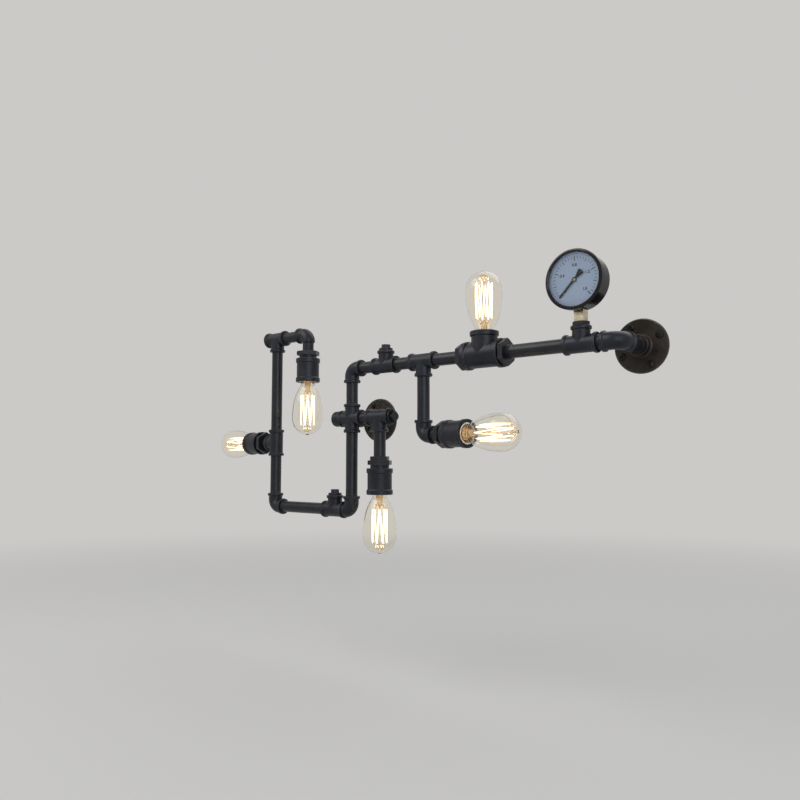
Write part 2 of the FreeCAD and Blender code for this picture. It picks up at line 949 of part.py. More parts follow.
def gauge_pieces(tee):
    """The gauge on its tee: bushing, square stem, case, dial and pointer."""
    top = along(tee, "up", size("tee_reach"))
    hex_h = size("gauge_hex_height")
    stem_foot = along(top, "up", hex_h)
    centre = along(tee, "up", size("gauge_height"))
    case_r = radius("gauge_case_dia")
    front = size("gauge_front")
    back = size("gauge_back")
    wall = size("gauge_wall")
    bezel_back = front - size("bezel_depth")
    dial_back = size("dial_front") - size("dial_thickness")
    out = TURNS["front"]
    arbor_r = radius("arbor_dia")

    neck = cylinder(PIPE_R, size("thread_depth"), along(top, "down", size("thread_depth")))
    head = hex_head(size("gauge_hex_flats"), hex_h, top, "up")
    thread_r = radius("gauge_thread_dia")
    thread_hole = thread_r + size("thread_gap")
    hole_start = along(top, "down", size("thread_depth") + 1.0)
    hole = cylinder(thread_hole, size("thread_depth") + hex_h + 2.0, hole_start)
    bushing_piece = cut(fuse([neck, head]), hole)

    side = size("stem_square")
    stem_height = size("gauge_height") - size("tee_reach") - hex_h - case_r + 4.0
    block = box(side, side, stem_height, stem_foot)
    shank = cylinder(thread_r, size("thread_depth"), along(stem_foot, "down", size("thread_depth")))
    case_clear = cylinder(case_r + size("thread_gap"), front + back, along(centre, "back", back), "front")
    stem = cut(fuse([block, shank]), case_clear)

    case = turned(
        [
            (0.0, -back),
            (case_r - 3.0, -back),
            (case_r, 3.0 - back),
            (case_r, bezel_back),
            (case_r, dial_back),
            (case_r - wall, dial_back),
            (case_r - wall, wall - back),
            (0.0, wall - back),
        ],
        centre,
        out,
    )

    rim_r = case_r + size("bezel_side")
    window_r = case_r - size("bezel_cover")
    lip = size("bezel_lip")
    glass_back = front - lip - size("gauge_glass_thickness")
    bezel = turned(
        [
            (case_r + size("thread_gap"), bezel_back),
            (rim_r - 0.8, bezel_back),
            (rim_r, bezel_back + 0.8),
            (rim_r, front - 2.0),
            (rim_r - 1.2, front - 0.5),
            (rim_r - 3.0, front),
            (window_r, front - lip / 2),
            (window_r, front - lip),
            (case_r + size("thread_gap"), front - lip),
        ],
        centre,
        out,
    )
    dial_r = case_r - size("holder_gap")
    hole_r = arbor_r + size("thread_gap") * 5
    dial_ring = ring(hole_r, case_r, dial_back, size("dial_front"))
    dial = turned(dial_ring, centre, out)
    glass = turned(
        [
            (0.0, glass_back),
            (dial_r, glass_back),
            (dial_r, front - lip),
            (0.0, front - lip),
        ],
        centre,
        out,
    )
    return {
        "gauge_bushing": bushing_piece,
        "gauge_stem": stem,
        "gauge_case": case,
        "gauge_bezel": bezel,
        "gauge_dial": dial,
        "gauge_glass": glass,
        "gauge_movement": gauge_movement(centre, dial_back),
        "gauge_pointer": gauge_pointer(centre, dial_back),
    }


def gauge_movement(centre, dial_back):
    """The C-shaped Bourdon tube, its link and the bearing of the pointer."""
    floor_z = number("gauge_wall") - number("gauge_back")
    tube_r = number("bourdon_tube_dia") / 2
    ring_r = number("bourdon_dia") / 2
    tube_z = floor_z + tube_r + 2.0
    plate_top = dial_back.value - 2.0
    end_ring = Part.Circle(Vector(ring_r, 0, tube_z), Vector(0, 1, 0), tube_r).toShape()
    tube = Part.Face(Part.Wire([end_ring])).revolve(Vector(), Vector(0, 0, 1), 250)
    tube.rotate(Vector(), Vector(0, 0, 1), -85)
    foot_w = tube_r * 5
    foot_h = tube_z - floor_z + tube_r * 1.4
    foot = Part.makeBox(foot_w, foot_w, foot_h, Vector(-foot_w / 2, -ring_r - foot_w / 2, floor_z))
    post = Part.makeCylinder(5.0, plate_top - floor_z, Vector(0, 0, floor_z))
    turn = Rotation(Vector(0, 0, 1), 165)
    free_end = turn.multVec(Vector(ring_r, 0, tube_z))
    link = rod_between(Vector(0, 0, tube_z), free_end, 1.2)
    solid = tube.fuse([foot, post, link])
    bore_r = number("arbor_dia") / 2 + number("arbor_gap")
    bore_depth = 6.0
    bore = Part.makeCylinder(bore_r, bore_depth + 1, Vector(0, 0, plate_top - bore_depth))
    return part_feature(solid.cut(bore), centre, "front")


def gauge_pointer(centre, dial_back):
    """The pointer with its fan-shaped tail, on the arbor that turns it."""
    tail = number("pointer_tail")
    half = number("pointer_width") / 2
    tip_half = number("pointer_tip_width") / 2
    fan = number("pointer_tail_width") / 2
    length = number("pointer_length")
    outline = [
        Vector(-tail, -fan, 0),
        Vector(-tail * 0.35, -half * 0.7, 0),
        Vector(0, -half, 0),
        Vector(length, -tip_half, 0),
        Vector(length, tip_half, 0),
        Vector(0, half, 0),
        Vector(-tail * 0.35, half * 0.7, 0),
        Vector(-tail, fan, 0),
    ]
    tail_edge = Part.Arc(outline[-1], Vector(-tail * 1.12, 0, 0), outline[0]).toShape()
    sides = [Part.makeLine(a, b) for a, b in zip(outline, outline[1:])]
    blade_z = number("dial_front") + number("pointer_lift")
    blade = Part.Face(Part.Wire(sides + [tail_edge]))
    blade = blade.extrude(Vector(0, 0, number("pointer_thickness")))
    blade.translate(Vector(0, 0, blade_z))
    blade.rotate(Vector(), Vector(0, 0, 1), number("pointer_rest"))
    hub_r = number("pointer_hub_dia") / 2
    hub_h = number("pointer_hub_height")
    hub = Part.makeCylinder(hub_r, hub_h, Vector(0, 0, blade_z - 0.4))
    foot_z = dial_back.value - 2.0 - 5.7
    arbor_r = number("arbor_dia") / 2
    arbor = Part.makeCylinder(arbor_r, blade_z - foot_z, Vector(0, 0, foot_z))
    return part_feature(blade.fuse([hub, arbor]), centre, "front")


# ----------------------------------------------------- cable inside the pipes

CABLE_BEND = number("bend_radius")


def cable(points):
    """A round cable along straight runs, with a tangent arc at each corner."""
    spots = [Vector(*(Size.of(value).value for value in point)) for point in points]
    edges = []
    begin = spots[0]
    for before, corner, after in zip(spots, spots[1:], spots[2:]):
        back = (before - corner).normalize()
        ahead = (after - corner).normalize()
        start = corner + back * CABLE_BEND
        end = corner + ahead * CABLE_BEND
        inward = (back + ahead).normalize()
        middle = corner + inward * (CABLE_BEND * (2 ** 0.5 - 1))
        edges.append(Part.makeLine(begin, start))
        edges.append(Part.Arc(start, middle, end).toShape())
        begin = end
    edges.append(Part.makeLine(begin, spots[-1]))
    path = Part.Wire(edges)
    first_run = spots[1] - spots[0]
    circle = Part.makeCircle(number("cable_dia") / 2, spots[0], first_run)
    return path.makePipeShell([Part.Wire([circle])], True, False)


def splice(point, direction):
    """The sleeve where one cable branches off another."""
    centre = Vector(*(Size.of(value).value for value in point))
    step = Vector(*STEPS[direction])
    length = number("splice_length")
    return Part.makeCylinder(number("splice_dia") / 2, length, centre - step * (length / 2), step)


def placed_shape(shape, point=(0, 0, 0), rotation=TURNS["up"]):
    piece = doc.addObject("Part::Feature", "cable")
    piece.Shape = shape
    return place(piece, point, rotation)


# ------------------------------------------------------------- the assembly

def group(pieces):
    """Several separate solids that share one node."""
    bundle = doc.addObject("Part::Compound", "group")
    bundle.Links = pieces
    return bundle


def crossing(x, z):
    return (size(x) if isinstance(x, str) else x, PIPE_Y, size(z) if isinstance(z, str) else z)


CROSS = crossing(0.0, 0.0)
TOP_ELBOW = crossing(0.0, "main_run_z")
PLAIN_TEE = crossing("plain_tee_x", "main_run_z")
DROP_TEE = crossing("drop_tee_x", "main_run_z")
BIG_TEE = crossing("big_tee_x", "main_run_z")
GAUGE_TEE = crossing("gauge_tee_x", "main_run_z")
RIGHT_ELBOW = along(GAUGE_TEE, "right", size("right_elbow_gap"))
RIGHT_WALL = (RIGHT_ELBOW[0], 0.0, RIGHT_ELBOW[2])
LOW_ELBOW = crossing(0.0, "bottom_run_z")
BOTTOM_TEE = along(LOW_ELBOW, "left", size("low_street_reach") + size("tee_reach"))
CORNER_ELBOW = crossing("left_riser_x", "bottom_run_z")
LEFT_TEE = crossing("left_riser_x", "left_lamp_z")
TOP_TEE = crossing("left_riser_x", "top_arm_z")
TOP_LAMP_ELBOW = crossing("top_lamp_x", "top_arm_z")
SIDE_TEE = crossing("down_lamp_x", 0.0)
SIDE_ELBOW = crossing("drop_tee_x", "side_arm_z")
# the two turned lamps are drawn about the Z axis and then set in place
LEFT_CORNER = (0.0, 0.0, size("left_lamp_z"))
SIDE_CORNER = (0.0, 0.0, size("side_arm_z"))

TEE = size("tee_reach")
ELBOW = size("elbow_reach")
STACK = size("hex_height") + size("bush_neck")

nodes = {}


def straight_pipes():
    """The pipes and nipples between the fittings of the fixed frame."""
    nodes["left_riser_pipes"] = group([
        pipe_between(TOP_TEE, "down", TOP_TEE[2] - LEFT_TEE[2], TEE, TEE),
        pipe_between(LEFT_TEE, "down", LEFT_TEE[2] - CORNER_ELBOW[2], TEE, ELBOW),
    ])
    nodes["right_riser_pipes"] = group([
        pipe_between(TOP_ELBOW, "down", TOP_ELBOW[2], ELBOW, TEE),
        pipe_between(CROSS, "down", -LOW_ELBOW[2], TEE, ELBOW),
    ])
    nodes["bottom_pipe"] = pipe_between(
        CORNER_ELBOW, "right", BOTTOM_TEE[0] - CORNER_ELBOW[0], ELBOW, TEE
    )
    nodes["drop_pipe"] = pipe_between(
        DROP_TEE, "down", DROP_TEE[2] - SIDE_ELBOW[2], TEE, ELBOW
    )
    bush = size("big_run_reach") + size("run_hex_gap") + size("hex_height")
    nodes["long_pipe"] = pipe_between(
        BIG_TEE, "right", GAUGE_TEE[0] - BIG_TEE[0], bush, TEE
    )
    nodes["wall_nipples"] = group([
        pipe_between(CROSS, "back", size("wall_distance"), TEE, size("flange_hub_height")),
        pipe_between(
            RIGHT_ELBOW, "back", size("wall_distance"), ELBOW, size("flange_hub_height")
        ),
    ])
    nodes["short_nipples"] = group([
        pipe_between(TOP_ELBOW, "right", PLAIN_TEE[0], ELBOW, TEE),
        pipe_between(PLAIN_TEE, "right", DROP_TEE[0] - PLAIN_TEE[0], TEE, TEE),
        pipe_between(DROP_TEE, "right", BIG_TEE[0] - DROP_TEE[0], TEE, bush),
        pipe_between(GAUGE_TEE, "right", RIGHT_ELBOW[0] - GAUGE_TEE[0], TEE, ELBOW),
        pipe_between(CROSS, "right", SIDE_TEE[0], TEE, TEE),
        pipe_between(TOP_TEE, "right", TOP_LAMP_ELBOW[0] - TOP_TEE[0], TEE, ELBOW),
        turned_left(
            nipple_to_bushing(LEFT_CORNER, "left", TEE, size("left_lamp_nipple"))
        ),
        nipple_to_bushing(SIDE_TEE, "down", TEE, size("down_lamp_nipple")),
        cap_nipple(),
    ])


def nipple_to_bushing(point, direction, reach, visible):
    """A nipple from a fitting into a bushing, showing a stretch between."""
    inside = size("thread_depth")
    start = along(point, direction, reach - inside)
    length = visible + inside * 2
    bore_start = along(start, direction, -1.0)
    outer = cylinder(PIPE_R, length, start, direction)
    return cut(outer, cylinder(radius("pipe_bore"), length + 2.0, bore_start, direction))


def cap_nipple():
    """The close nipple between the cross and its end cap."""
    inside = size("thread_depth")
    length = size("cap_reach") - size("cap_dome") - TEE + inside - size("socket_spare")
    return cylinder(PIPE_R, length, along(CROSS, "left", TEE - inside), "left")


def fittings():
    """Tees, elbows, the cross, plugs and flanges of the fixed frame."""
    nodes["cross_fitting"] = small_fitting(CROSS, ["up", "down", "left", "right", "back"])
    nodes["cross_cap"] = end_cap(CROSS, "left")
    nodes["frame_elbows"] = group([
        elbow(TOP_ELBOW, "down", "right"),
        street_elbow(LOW_ELBOW, "up", "left", size("low_street_reach")),
        elbow(CORNER_ELBOW, "right", "up"),
        elbow(RIGHT_ELBOW, "left", "back"),
    ])
    nodes["run_tees"] = group([
        small_fitting(PLAIN_TEE, ["left", "right", "up"]),
        small_fitting(DROP_TEE, ["left", "right", "down"]),
        small_fitting(GAUGE_TEE, ["left", "right", "up"]),
    ])
    nodes["frame_tees"] = group([
        small_fitting(TOP_TEE, ["left", "right", "down"]),
        turned_left(small_fitting(LEFT_CORNER, ["up", "down", "left"])),
        small_fitting(BOTTOM_TEE, ["left", "right", "up"]),
        small_fitting(SIDE_TEE, ["left", "right", "down"]),
    ])
    nodes["tee_plugs"] = group([
        square_plug(along(PLAIN_TEE, "up", TEE), "up"),
        square_plug(along(BOTTOM_TEE, "up", TEE), "up"),
        square_plug(along(SIDE_TEE, "right", TEE), "right"),
        flush_plug(along(TOP_TEE, "left", TEE), "left"),
    ])
    nodes["wall_flanges"] = group([wall_flange((0.0, 0.0, 0.0)), wall_flange(RIGHT_WALL)])
    nodes["big_tee"] = big_tee(BIG_TEE)
    run = size("big_run_reach")
    outer = run + size("run_hex_gap") + size("hex_height")
    insert = size("run_hex_gap") + size("big_thread_depth") - size("bush_neck") / 2
    nodes["big_tee_bushings"] = group([
        inch_bushing(along(BIG_TEE, "left", outer), "right", insert),
        inch_bushing(along(BIG_TEE, "right", outer), "left", insert),
    ])


def inch_stack(seat, direction):
    """The bushing and cup of a lamp; seat is the hexagon's outer face."""
    insert = size("bush_neck") + size("bush_insert")
    bush = inch_bushing(seat, direction, insert)
    mouth = along(seat, direction, STACK + size("cup_length"))
    return bush, cup(mouth, direction), mouth


def down_stack(seat):
    """The hanging lamp's two bushings, one screwed into the other, and cup."""
    mid_r = radius("mid_thread_dia")
    mid_h = size("mid_hex_height")
    small = bushing(
        seat, "down", mid_r, size("thread_depth"), size("mid_hex_flats"), mid_h, SOCKET_R
    )
    large_seat = along(seat, "down", mid_h)
    insert = size("bush_neck") + size("bush_insert")
    large = bushing(
        large_seat,
        "down",
        INCH_R,
        insert,
        size("hex_flats"),
        size("hex_height"),
        mid_r + size("thread_gap"),
    )
    mouth = along(large_seat, "down", STACK + size("cup_length"))
    return small, large, cup(mouth, "down"), mouth


fixed_holders = []
fixed_contacts = []


def as_is(piece):
    return piece


def add_fixed_lamp(name, mouth, direction, wrap=as_is):
    """A lamp of the fixed frame; the three holders share their nodes."""
    pieces = lamp_pieces(mouth, direction)
    fixed_holders.append(wrap(pieces["holder"]))
    fixed_contacts.append(wrap(pieces["contacts"]))
    add_bulb(name, pieces, wrap)


def add_arm_lamp(name, pieces, wrap):
    """A lamp that turns with its arm, each piece in a node of its own."""
    nodes[f"{name}_lamp_holder"] = wrap(pieces["holder"])
    nodes[f"{name}_lamp_contacts"] = wrap(pieces["contacts"])
    add_bulb(name, pieces, wrap)


def add_bulb(name, pieces, wrap):
    """Files a bulb's pieces under their node names."""
    nodes[f"{name}_bulb_base"] = wrap(pieces["base"])
    nodes[f"{name}_bulb_glass"] = wrap(pieces["glass"])
    nodes[f"{name}_bulb_filament"] = wrap(pieces["filament"])


def turned_about(piece, axis_x, angle):
    """A piece drawn about the Z axis, set on an upright pipe and turned."""
    arm = group([piece])
    arm.Placement = Placement(Vector(0, 0, 0), Rotation(Vector(0, 0, 1), -1))
    bind(arm, ".Placement.Base.x", axis_x)
    bind(arm, ".Placement.Base.y", PIPE_Y)
    bind(arm, ".Placement.Rotation.Angle", -angle)
    return arm


def turned_arm(piece):
    """A piece of the side arm, turned towards the room about the drop pipe."""
    return turned_about(piece, size("drop_tee_x"), size("side_arm_turn"))


def turned_left(piece):
    """A piece of the left lamp, turned towards the wall about its riser."""
    return turned_about(piece, size("left_riser_x"), size("left_lamp_turn"))


def lamps():
    """The five lamps with the arms and bushings that carry them."""
    seat = along(TOP_LAMP_ELBOW, "down", size("street_reach"))
    bush, shade, mouth = inch_stack(seat, "down")
    nodes["top_arm_elbow"] = street_elbow(
        TOP_LAMP_ELBOW, "left", "down", size("street_reach")
    )
    nodes["top_arm_bushing"] = bush
    nodes["top_lamp_cup"] = shade
    add_arm_lamp("top", lamp_pieces(mouth, "down"), as_is)

    seat = along(LEFT_CORNER, "left", TEE + size("left_lamp_nipple"))
    bush, shade, mouth = inch_stack(seat, "left")
    nodes["left_lamp_bushing"] = turned_left(bush)
    nodes["left_lamp_cup"] = turned_left(shade)
    add_fixed_lamp("left", mouth, "left", turned_left)

    seat = along(SIDE_TEE, "down", TEE + size("down_lamp_nipple"))
    small, large, shade, mouth = down_stack(seat)
    nodes["down_lamp_small_bushing"] = small
    nodes["down_lamp_large_bushing"] = large
    nodes["down_lamp_cup"] = shade
    add_fixed_lamp("down", mouth, "down")

    mouth = along(BIG_TEE, "up", size("big_branch_reach") - size("upright_recess"))
    add_fixed_lamp("upright", mouth, "up")
    nodes["frame_lamp_holders"] = group(fixed_holders)
    nodes["frame_lamp_contacts"] = group(fixed_contacts)

    nodes["side_arm_elbow"] = turned_arm(elbow(SIDE_CORNER, "up", "right"))
    nodes["side_arm_nipple"] = turned_arm(
        nipple_to_bushing(SIDE_CORNER, "right", ELBOW, size("side_lamp_nipple"))
    )
    seat = along(SIDE_CORNER, "right", ELBOW + size("side_lamp_nipple"))
    bush, shade, mouth = inch_stack(seat, "right")
    nodes["side_arm_bushing"] = turned_arm(bush)
    nodes["side_lamp_cup"] = turned_arm(shade)
    add_arm_lamp("side", lamp_pieces(mouth, "right"), turned_arm)


def cables():
    """The supply loom of the frame and the two cables of the turning arms."""
    cup_back = STACK + size("cup_length") - HOLDER_DEPTH - size("cable_gap")
    left_run = TEE + size("left_lamp_nipple") + cup_back
    left_turn = math.radians(number("left_lamp_turn"))
    left_end = (
        LEFT_TEE[0] - left_run * math.cos(left_turn),
        LEFT_TEE[1] + left_run * math.sin(left_turn),
        LEFT_TEE[2],
    )
    down_end = along(
        SIDE_TEE, "down", TEE + size("down_lamp_nipple") + size("mid_hex_height") + cup_back
    )
    arm_gap = size("cable_gap")
    upright_end = along(BIG_TEE, "left", radius("holder_dia") + arm_gap)
    top_joint = along(TOP_LAMP_ELBOW, "left", ELBOW + arm_gap)
    side_joint = along(SIDE_ELBOW, "up", ELBOW + arm_gap)
    wall_end = (0.0, -1.0, 0.0)
    loom = cable([wall_end, CROSS, TOP_ELBOW, upright_end])
    loom = loom.fuse([
        cable([CROSS, LOW_ELBOW, CORNER_ELBOW, TOP_TEE, top_joint]),
        cable([CROSS, SIDE_TEE, down_end]),
        cable([DROP_TEE, side_joint]),
        cable([LEFT_TEE, left_end]),
        splice(CROSS, "up"),
        splice(DROP_TEE, "right"),
        splice(LEFT_TEE, "up"),
    ])
    nodes["supply_loom"] = placed_shape(loom)

    top_end = along(TOP_LAMP_ELBOW, "down", size("street_reach") + cup_back)
    top_start = along(TOP_LAMP_ELBOW, "left", ELBOW)
    nodes["top_arm_cable"] = placed_shape(cable([top_start, TOP_LAMP_ELBOW, top_end]))

    start = along(SIDE_CORNER, "up", ELBOW)
    end = along(SIDE_CORNER, "right", ELBOW + size("side_lamp_nipple") + cup_back)
    arm_route = cable([start, SIDE_CORNER, end])
    nodes["side_arm_cable"] = turned_arm(placed_shape(arm_route))


def check_and_export():
    """Refuses a failed object, then writes one file for each node."""
    doc.recompute()
    for thing in doc.Objects:
        bad = [state for state in thing.State if state in ("Invalid", "Error")]
        if bad:
            raise RuntimeError(f"{thing.Name} ({thing.TypeId}) failed: {bad}")
    os.makedirs("parts", exist_ok=True)
    for name, thing in nodes.items():
        thing.Label = name
        shape = thing.Shape
        if shape.isNull() or not shape.isValid():
            raise RuntimeError(f"{name} has no valid shape")
        solids = shape.Solids
        if len(solids) == 1:
            shape = solids[0]
        shape.exportStep(f"parts/{name}.step")
        print(f"{name}: {len(solids)} solid(s), {shape.Volume:.1f} mm3")


straight_pipes()
fittings()
lamps()
nodes.update(gauge_pieces(GAUGE_TEE))
cables()
check_and_export()
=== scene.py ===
"""The pipe wall light, dressed for its picture: five lamps and a gauge on a
frame of black threaded pipe, in metres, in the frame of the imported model."""

import math

import bmesh
import bpy
from mathutils import Matrix, Vector


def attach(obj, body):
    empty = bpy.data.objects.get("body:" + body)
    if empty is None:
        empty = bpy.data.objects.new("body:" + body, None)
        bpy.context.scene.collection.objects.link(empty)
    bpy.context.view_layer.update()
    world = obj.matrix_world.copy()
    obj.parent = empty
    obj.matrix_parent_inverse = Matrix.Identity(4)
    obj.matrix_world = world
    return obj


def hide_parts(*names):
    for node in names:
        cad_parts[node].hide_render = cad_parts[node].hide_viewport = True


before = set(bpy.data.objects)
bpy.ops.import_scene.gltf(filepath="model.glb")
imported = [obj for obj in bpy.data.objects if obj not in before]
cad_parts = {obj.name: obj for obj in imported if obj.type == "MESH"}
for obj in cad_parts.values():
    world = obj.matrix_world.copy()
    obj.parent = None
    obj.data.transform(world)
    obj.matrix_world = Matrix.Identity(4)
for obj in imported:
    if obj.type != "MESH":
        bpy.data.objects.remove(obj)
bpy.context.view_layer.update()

# ------------------------------------------------------------- view and studio
# The light is seen from its right, a little below its middle, by a camera
# 1.4 m away; a pale floor lies under it and three large soft lamps light it.

camera_place = Vector((0.937, -1.059, -0.079))
camera_swing = math.radians(40.0)
camera_lift = math.radians(4.77)
view_line = Vector((
    -math.sin(camera_swing) * math.cos(camera_lift),
    math.cos(camera_swing) * math.cos(camera_lift),
    math.sin(camera_lift),
))
camera_data = bpy.data.cameras.new("camera")
camera_data.lens = 33.3
camera_data.sensor_width = 36.0
camera = bpy.data.objects.new("camera", camera_data)
camera.location = camera_place
camera.rotation_euler = view_line.to_track_quat("-Z", "Y").to_euler()
bpy.context.scene.collection.objects.link(camera)
bpy.context.scene.camera = camera
bpy.context.scene.view_settings.view_transform = "Standard"

light_middle = Vector((0.1, -0.1, 0.0))


def soft_lamp(name, place, width, power, tint):
    """A square soft light that faces the wall light; glass doesn't show it."""
    data = bpy.data.lights.new(name, "AREA")
    data.shape = "SQUARE"
    data.size = width
    data.energy = power
    data.color = tint
    lamp = bpy.data.objects.new(name, data)
    lamp.location = place
    beam = light_middle - Vector(place)
    lamp.rotation_euler = beam.to_track_quat("-Z", "Y").to_euler()
    lamp.visible_transmission = False
    bpy.context.scene.collection.objects.link(lamp)


soft_lamp("key_lamp", (-0.9, -1.7, 1.7), width=1.8, power=30.0, tint=(1.0, 0.98, 0.95))
soft_lamp("fill_lamp", (2.0, -1.4, 0.5), width=1.6, power=14.0, tint=(0.93, 0.96, 1.0))
soft_lamp("top_lamp", (0.4, 1.0, 1.9), width=2.2, power=18.0, tint=(1.0, 1.0, 1.0))

backdrop_grey = (0.60, 0.59, 0.575)
world = bpy.data.worlds.new("studio")
bpy.context.scene.world = world
world.use_nodes = True
world_nodes = world.node_tree.nodes
world_links = world.node_tree.links
world_nodes.clear()
soft_room = world_nodes.new("ShaderNodeBackground")
soft_room.inputs["Color"].default_value = (0.93, 0.96, 1.0, 1.0)
soft_room.inputs["Strength"].default_value = 0.50
seen_room = world_nodes.new("ShaderNodeBackground")
seen_room.inputs["Color"].default_value = (*backdrop_grey, 1.0)
ray_kind = world_nodes.new("ShaderNodeLightPath")
seen_or_through = world_nodes.new("ShaderNodeMath")
seen_or_through.operation = "MAXIMUM"
world_links.new(ray_kind.outputs["Is Camera Ray"], seen_or_through.inputs[0])
world_links.new(ray_kind.outputs["Is Transmission Ray"], seen_or_through.inputs[1])
seen_at_all = world_nodes.new("ShaderNodeMath")
seen_at_all.operation = "MAXIMUM"
world_links.new(seen_or_through.outputs[0], seen_at_all.inputs[0])
world_links.new(ray_kind.outputs["Is Glossy Ray"], seen_at_all.inputs[1])
room_choice = world_nodes.new("ShaderNodeMixShader")
world_links.new(seen_at_all.outputs[0], room_choice.inputs["Fac"])
world_links.new(soft_room.outputs[0], room_choice.inputs[1])
world_links.new(seen_room.outputs[0], room_choice.inputs[2])
world_out = world_nodes.new("ShaderNodeOutputWorld")
world_links.new(room_choice.outputs[0], world_out.inputs["Surface"])

floor_height = -0.46
floor_half_width = 9.0
floor_fade_start = 0.5
floor_fade_end = 3.2
floor_shape = bmesh.new()
bmesh.ops.create_grid(floor_shape, x_segments=8, y_segments=8, size=floor_half_width)
floor_mesh = bpy.data.meshes.new("floor")
floor_shape.to_mesh(floor_mesh)
floor_shape.free()
floor = bpy.data.objects.new("floor", floor_mesh)
floor.location = (0.15, -0.1, floor_height)
bpy.context.scene.collection.objects.link(floor)

floor_finish = bpy.data.materials.new("pale_floor")
floor_finish.use_nodes = True
floor_nodes = floor_finish.node_tree.nodes
floor_links = floor_finish.node_tree.links
floor_nodes.clear()
floor_paint = floor_nodes.new("ShaderNodeBsdfDiffuse")
floor_paint.inputs["Color"].default_value = (0.58, 0.57, 0.555, 1.0)
floor_far = floor_nodes.new("ShaderNodeEmission")
floor_far.inputs["Color"].default_value = (*backdrop_grey, 1.0)
floor_spot = floor_nodes.new("ShaderNodeTexCoord")
floor_reach = floor_nodes.new("ShaderNodeVectorMath")
floor_reach.operation = "LENGTH"
floor_links.new(floor_spot.outputs["Object"], floor_reach.inputs[0])
floor_fade = floor_nodes.new("ShaderNodeMapRange")
floor_fade.interpolation_type = "SMOOTHSTEP"
floor_fade.inputs["From Min"].default_value = floor_fade_start
floor_fade.inputs["From Max"].default_value = floor_fade_end
floor_links.new(floor_reach.outputs["Value"], floor_fade.inputs["Value"])
floor_mix = floor_nodes.new("ShaderNodeMixShader")
floor_links.new(floor_fade.outputs["Result"], floor_mix.inputs["Fac"])
floor_links.new(floor_paint.outputs[0], floor_mix.inputs[1])
floor_links.new(floor_far.outputs[0], floor_mix.inputs[2])
floor_out = floor_nodes.new("ShaderNodeOutputMaterial")
floor_links.new(floor_mix.outputs[0], floor_out.inputs["Surface"])
floor_mesh.materials.append(floor_finish)

# ------------------------------------------------------------------ wall plates
# Two round floor flanges of black malleable iron, cast and then machined on
# the face that sits on the wall. Four slotted screws hold each of them.


def start_finish(name):
    """A new material with one shader; returns it with its nodes and links."""
    finish = bpy.data.materials.new(name)
    finish.use_nodes = True
    nodes = finish.node_tree.nodes
    return finish, nodes, finish.node_tree.links, nodes["Principled BSDF"]


def grain(nodes, links, size, detail, stretch=(1.0, 1.0, 1.0)):
    """Uneven spots of about one size in metres, fixed to the piece."""
    spot = nodes.new("ShaderNodeTexCoord")
    scaled = nodes.new("ShaderNodeMapping")
    scaled.inputs["Scale"].default_value = tuple(part / size for part in stretch)
    links.new(spot.outputs["Object"], scaled.inputs["Vector"])
    noise = nodes.new("ShaderNodeTexNoise")
    noise.inputs["Scale"].default_value = 1.0
    noise.inputs["Detail"].default_value = detail
    links.new(scaled.outputs["Vector"], noise.inputs["Vector"])
    return noise.outputs["Fac"]


def spread(nodes, links, source, found, wanted):
    """Turns a pattern's values in the range found into the range wanted."""
    ramp = nodes.new("ShaderNodeMapRange")
    ramp.inputs["From Min"].default_value = found[0]
    ramp.inputs["From Max"].default_value = found[1]
    ramp.inputs["To Min"].default_value = wanted[0]
    ramp.inputs["To Max"].default_value = wanted[1]
    links.new(source, ramp.inputs["Value"])
    return ramp.outputs["Result"]


def blend_colour(nodes, links, share, first, second):
    """Mixes two colours, or a colour over an earlier mix, by a pattern."""
    mix = nodes.new("ShaderNodeMix")
    mix.data_type = "RGBA"
    links.new(share, mix.inputs["Factor"])
    for socket, colour in ((mix.inputs["A"], first), (mix.inputs["B"], second)):
        if isinstance(colour, tuple):
            socket.default_value = (*colour, 1.0)
        else:
            links.new(colour, socket)
    return mix.outputs["Result"]


def relief(nodes, links, height, depth, under=None):
    """Raises the surface by a pattern, depth metres from low to high."""
    bump = nodes.new("ShaderNodeBump")
    bump.inputs["Strength"].default_value = 1.0
    bump.inputs["Distance"].default_value = depth
    links.new(height, bump.inputs["Height"])
    if under is not None:
        links.new(under, bump.inputs["Normal"])
    return bump.outputs["Normal"]


def worn_edges(nodes, links, width):
    """Near 1 within a width of a piece's sharp edges, 0 on its faces."""
    rounded = nodes.new("ShaderNodeBevel")
    rounded.samples = 4
    rounded.inputs["Radius"].default_value = width
    true_face = nodes.new("ShaderNodeNewGeometry")
    likeness = nodes.new("ShaderNodeVectorMath")
    likeness.operation = "DOT_PRODUCT"
    links.new(rounded.outputs["Normal"], likeness.inputs[0])
    links.new(true_face.outputs["Normal"], likeness.inputs[1])
    return spread(nodes, links, likeness.outputs["Value"], (0.995, 0.90), (0.0, 1.0))


def even_finish(
    name, size, detail, colours, rough, found=(0.3, 0.7), depth=0.0, skin_size=None, fixed=()
):
    """Colour and shine from one pattern, relief from it or from a finer one.
    Fixed lists the shader's sockets that take one value, with the values."""
    finish, nodes, links, shader = start_finish(name)
    pattern = grain(nodes, links, size, detail)
    links.new(blend_colour(nodes, links, pattern, *colours), shader.inputs["Base Color"])
    links.new(spread(nodes, links, pattern, found, rough), shader.inputs["Roughness"])
    if depth:
        skin = grain(nodes, links, skin_size, detail=2.0) if skin_size else pattern
        links.new(relief(nodes, links, skin, depth), shader.inputs["Normal"])
    for socket, value in fixed:
        shader.inputs[socket].default_value = value
    return finish


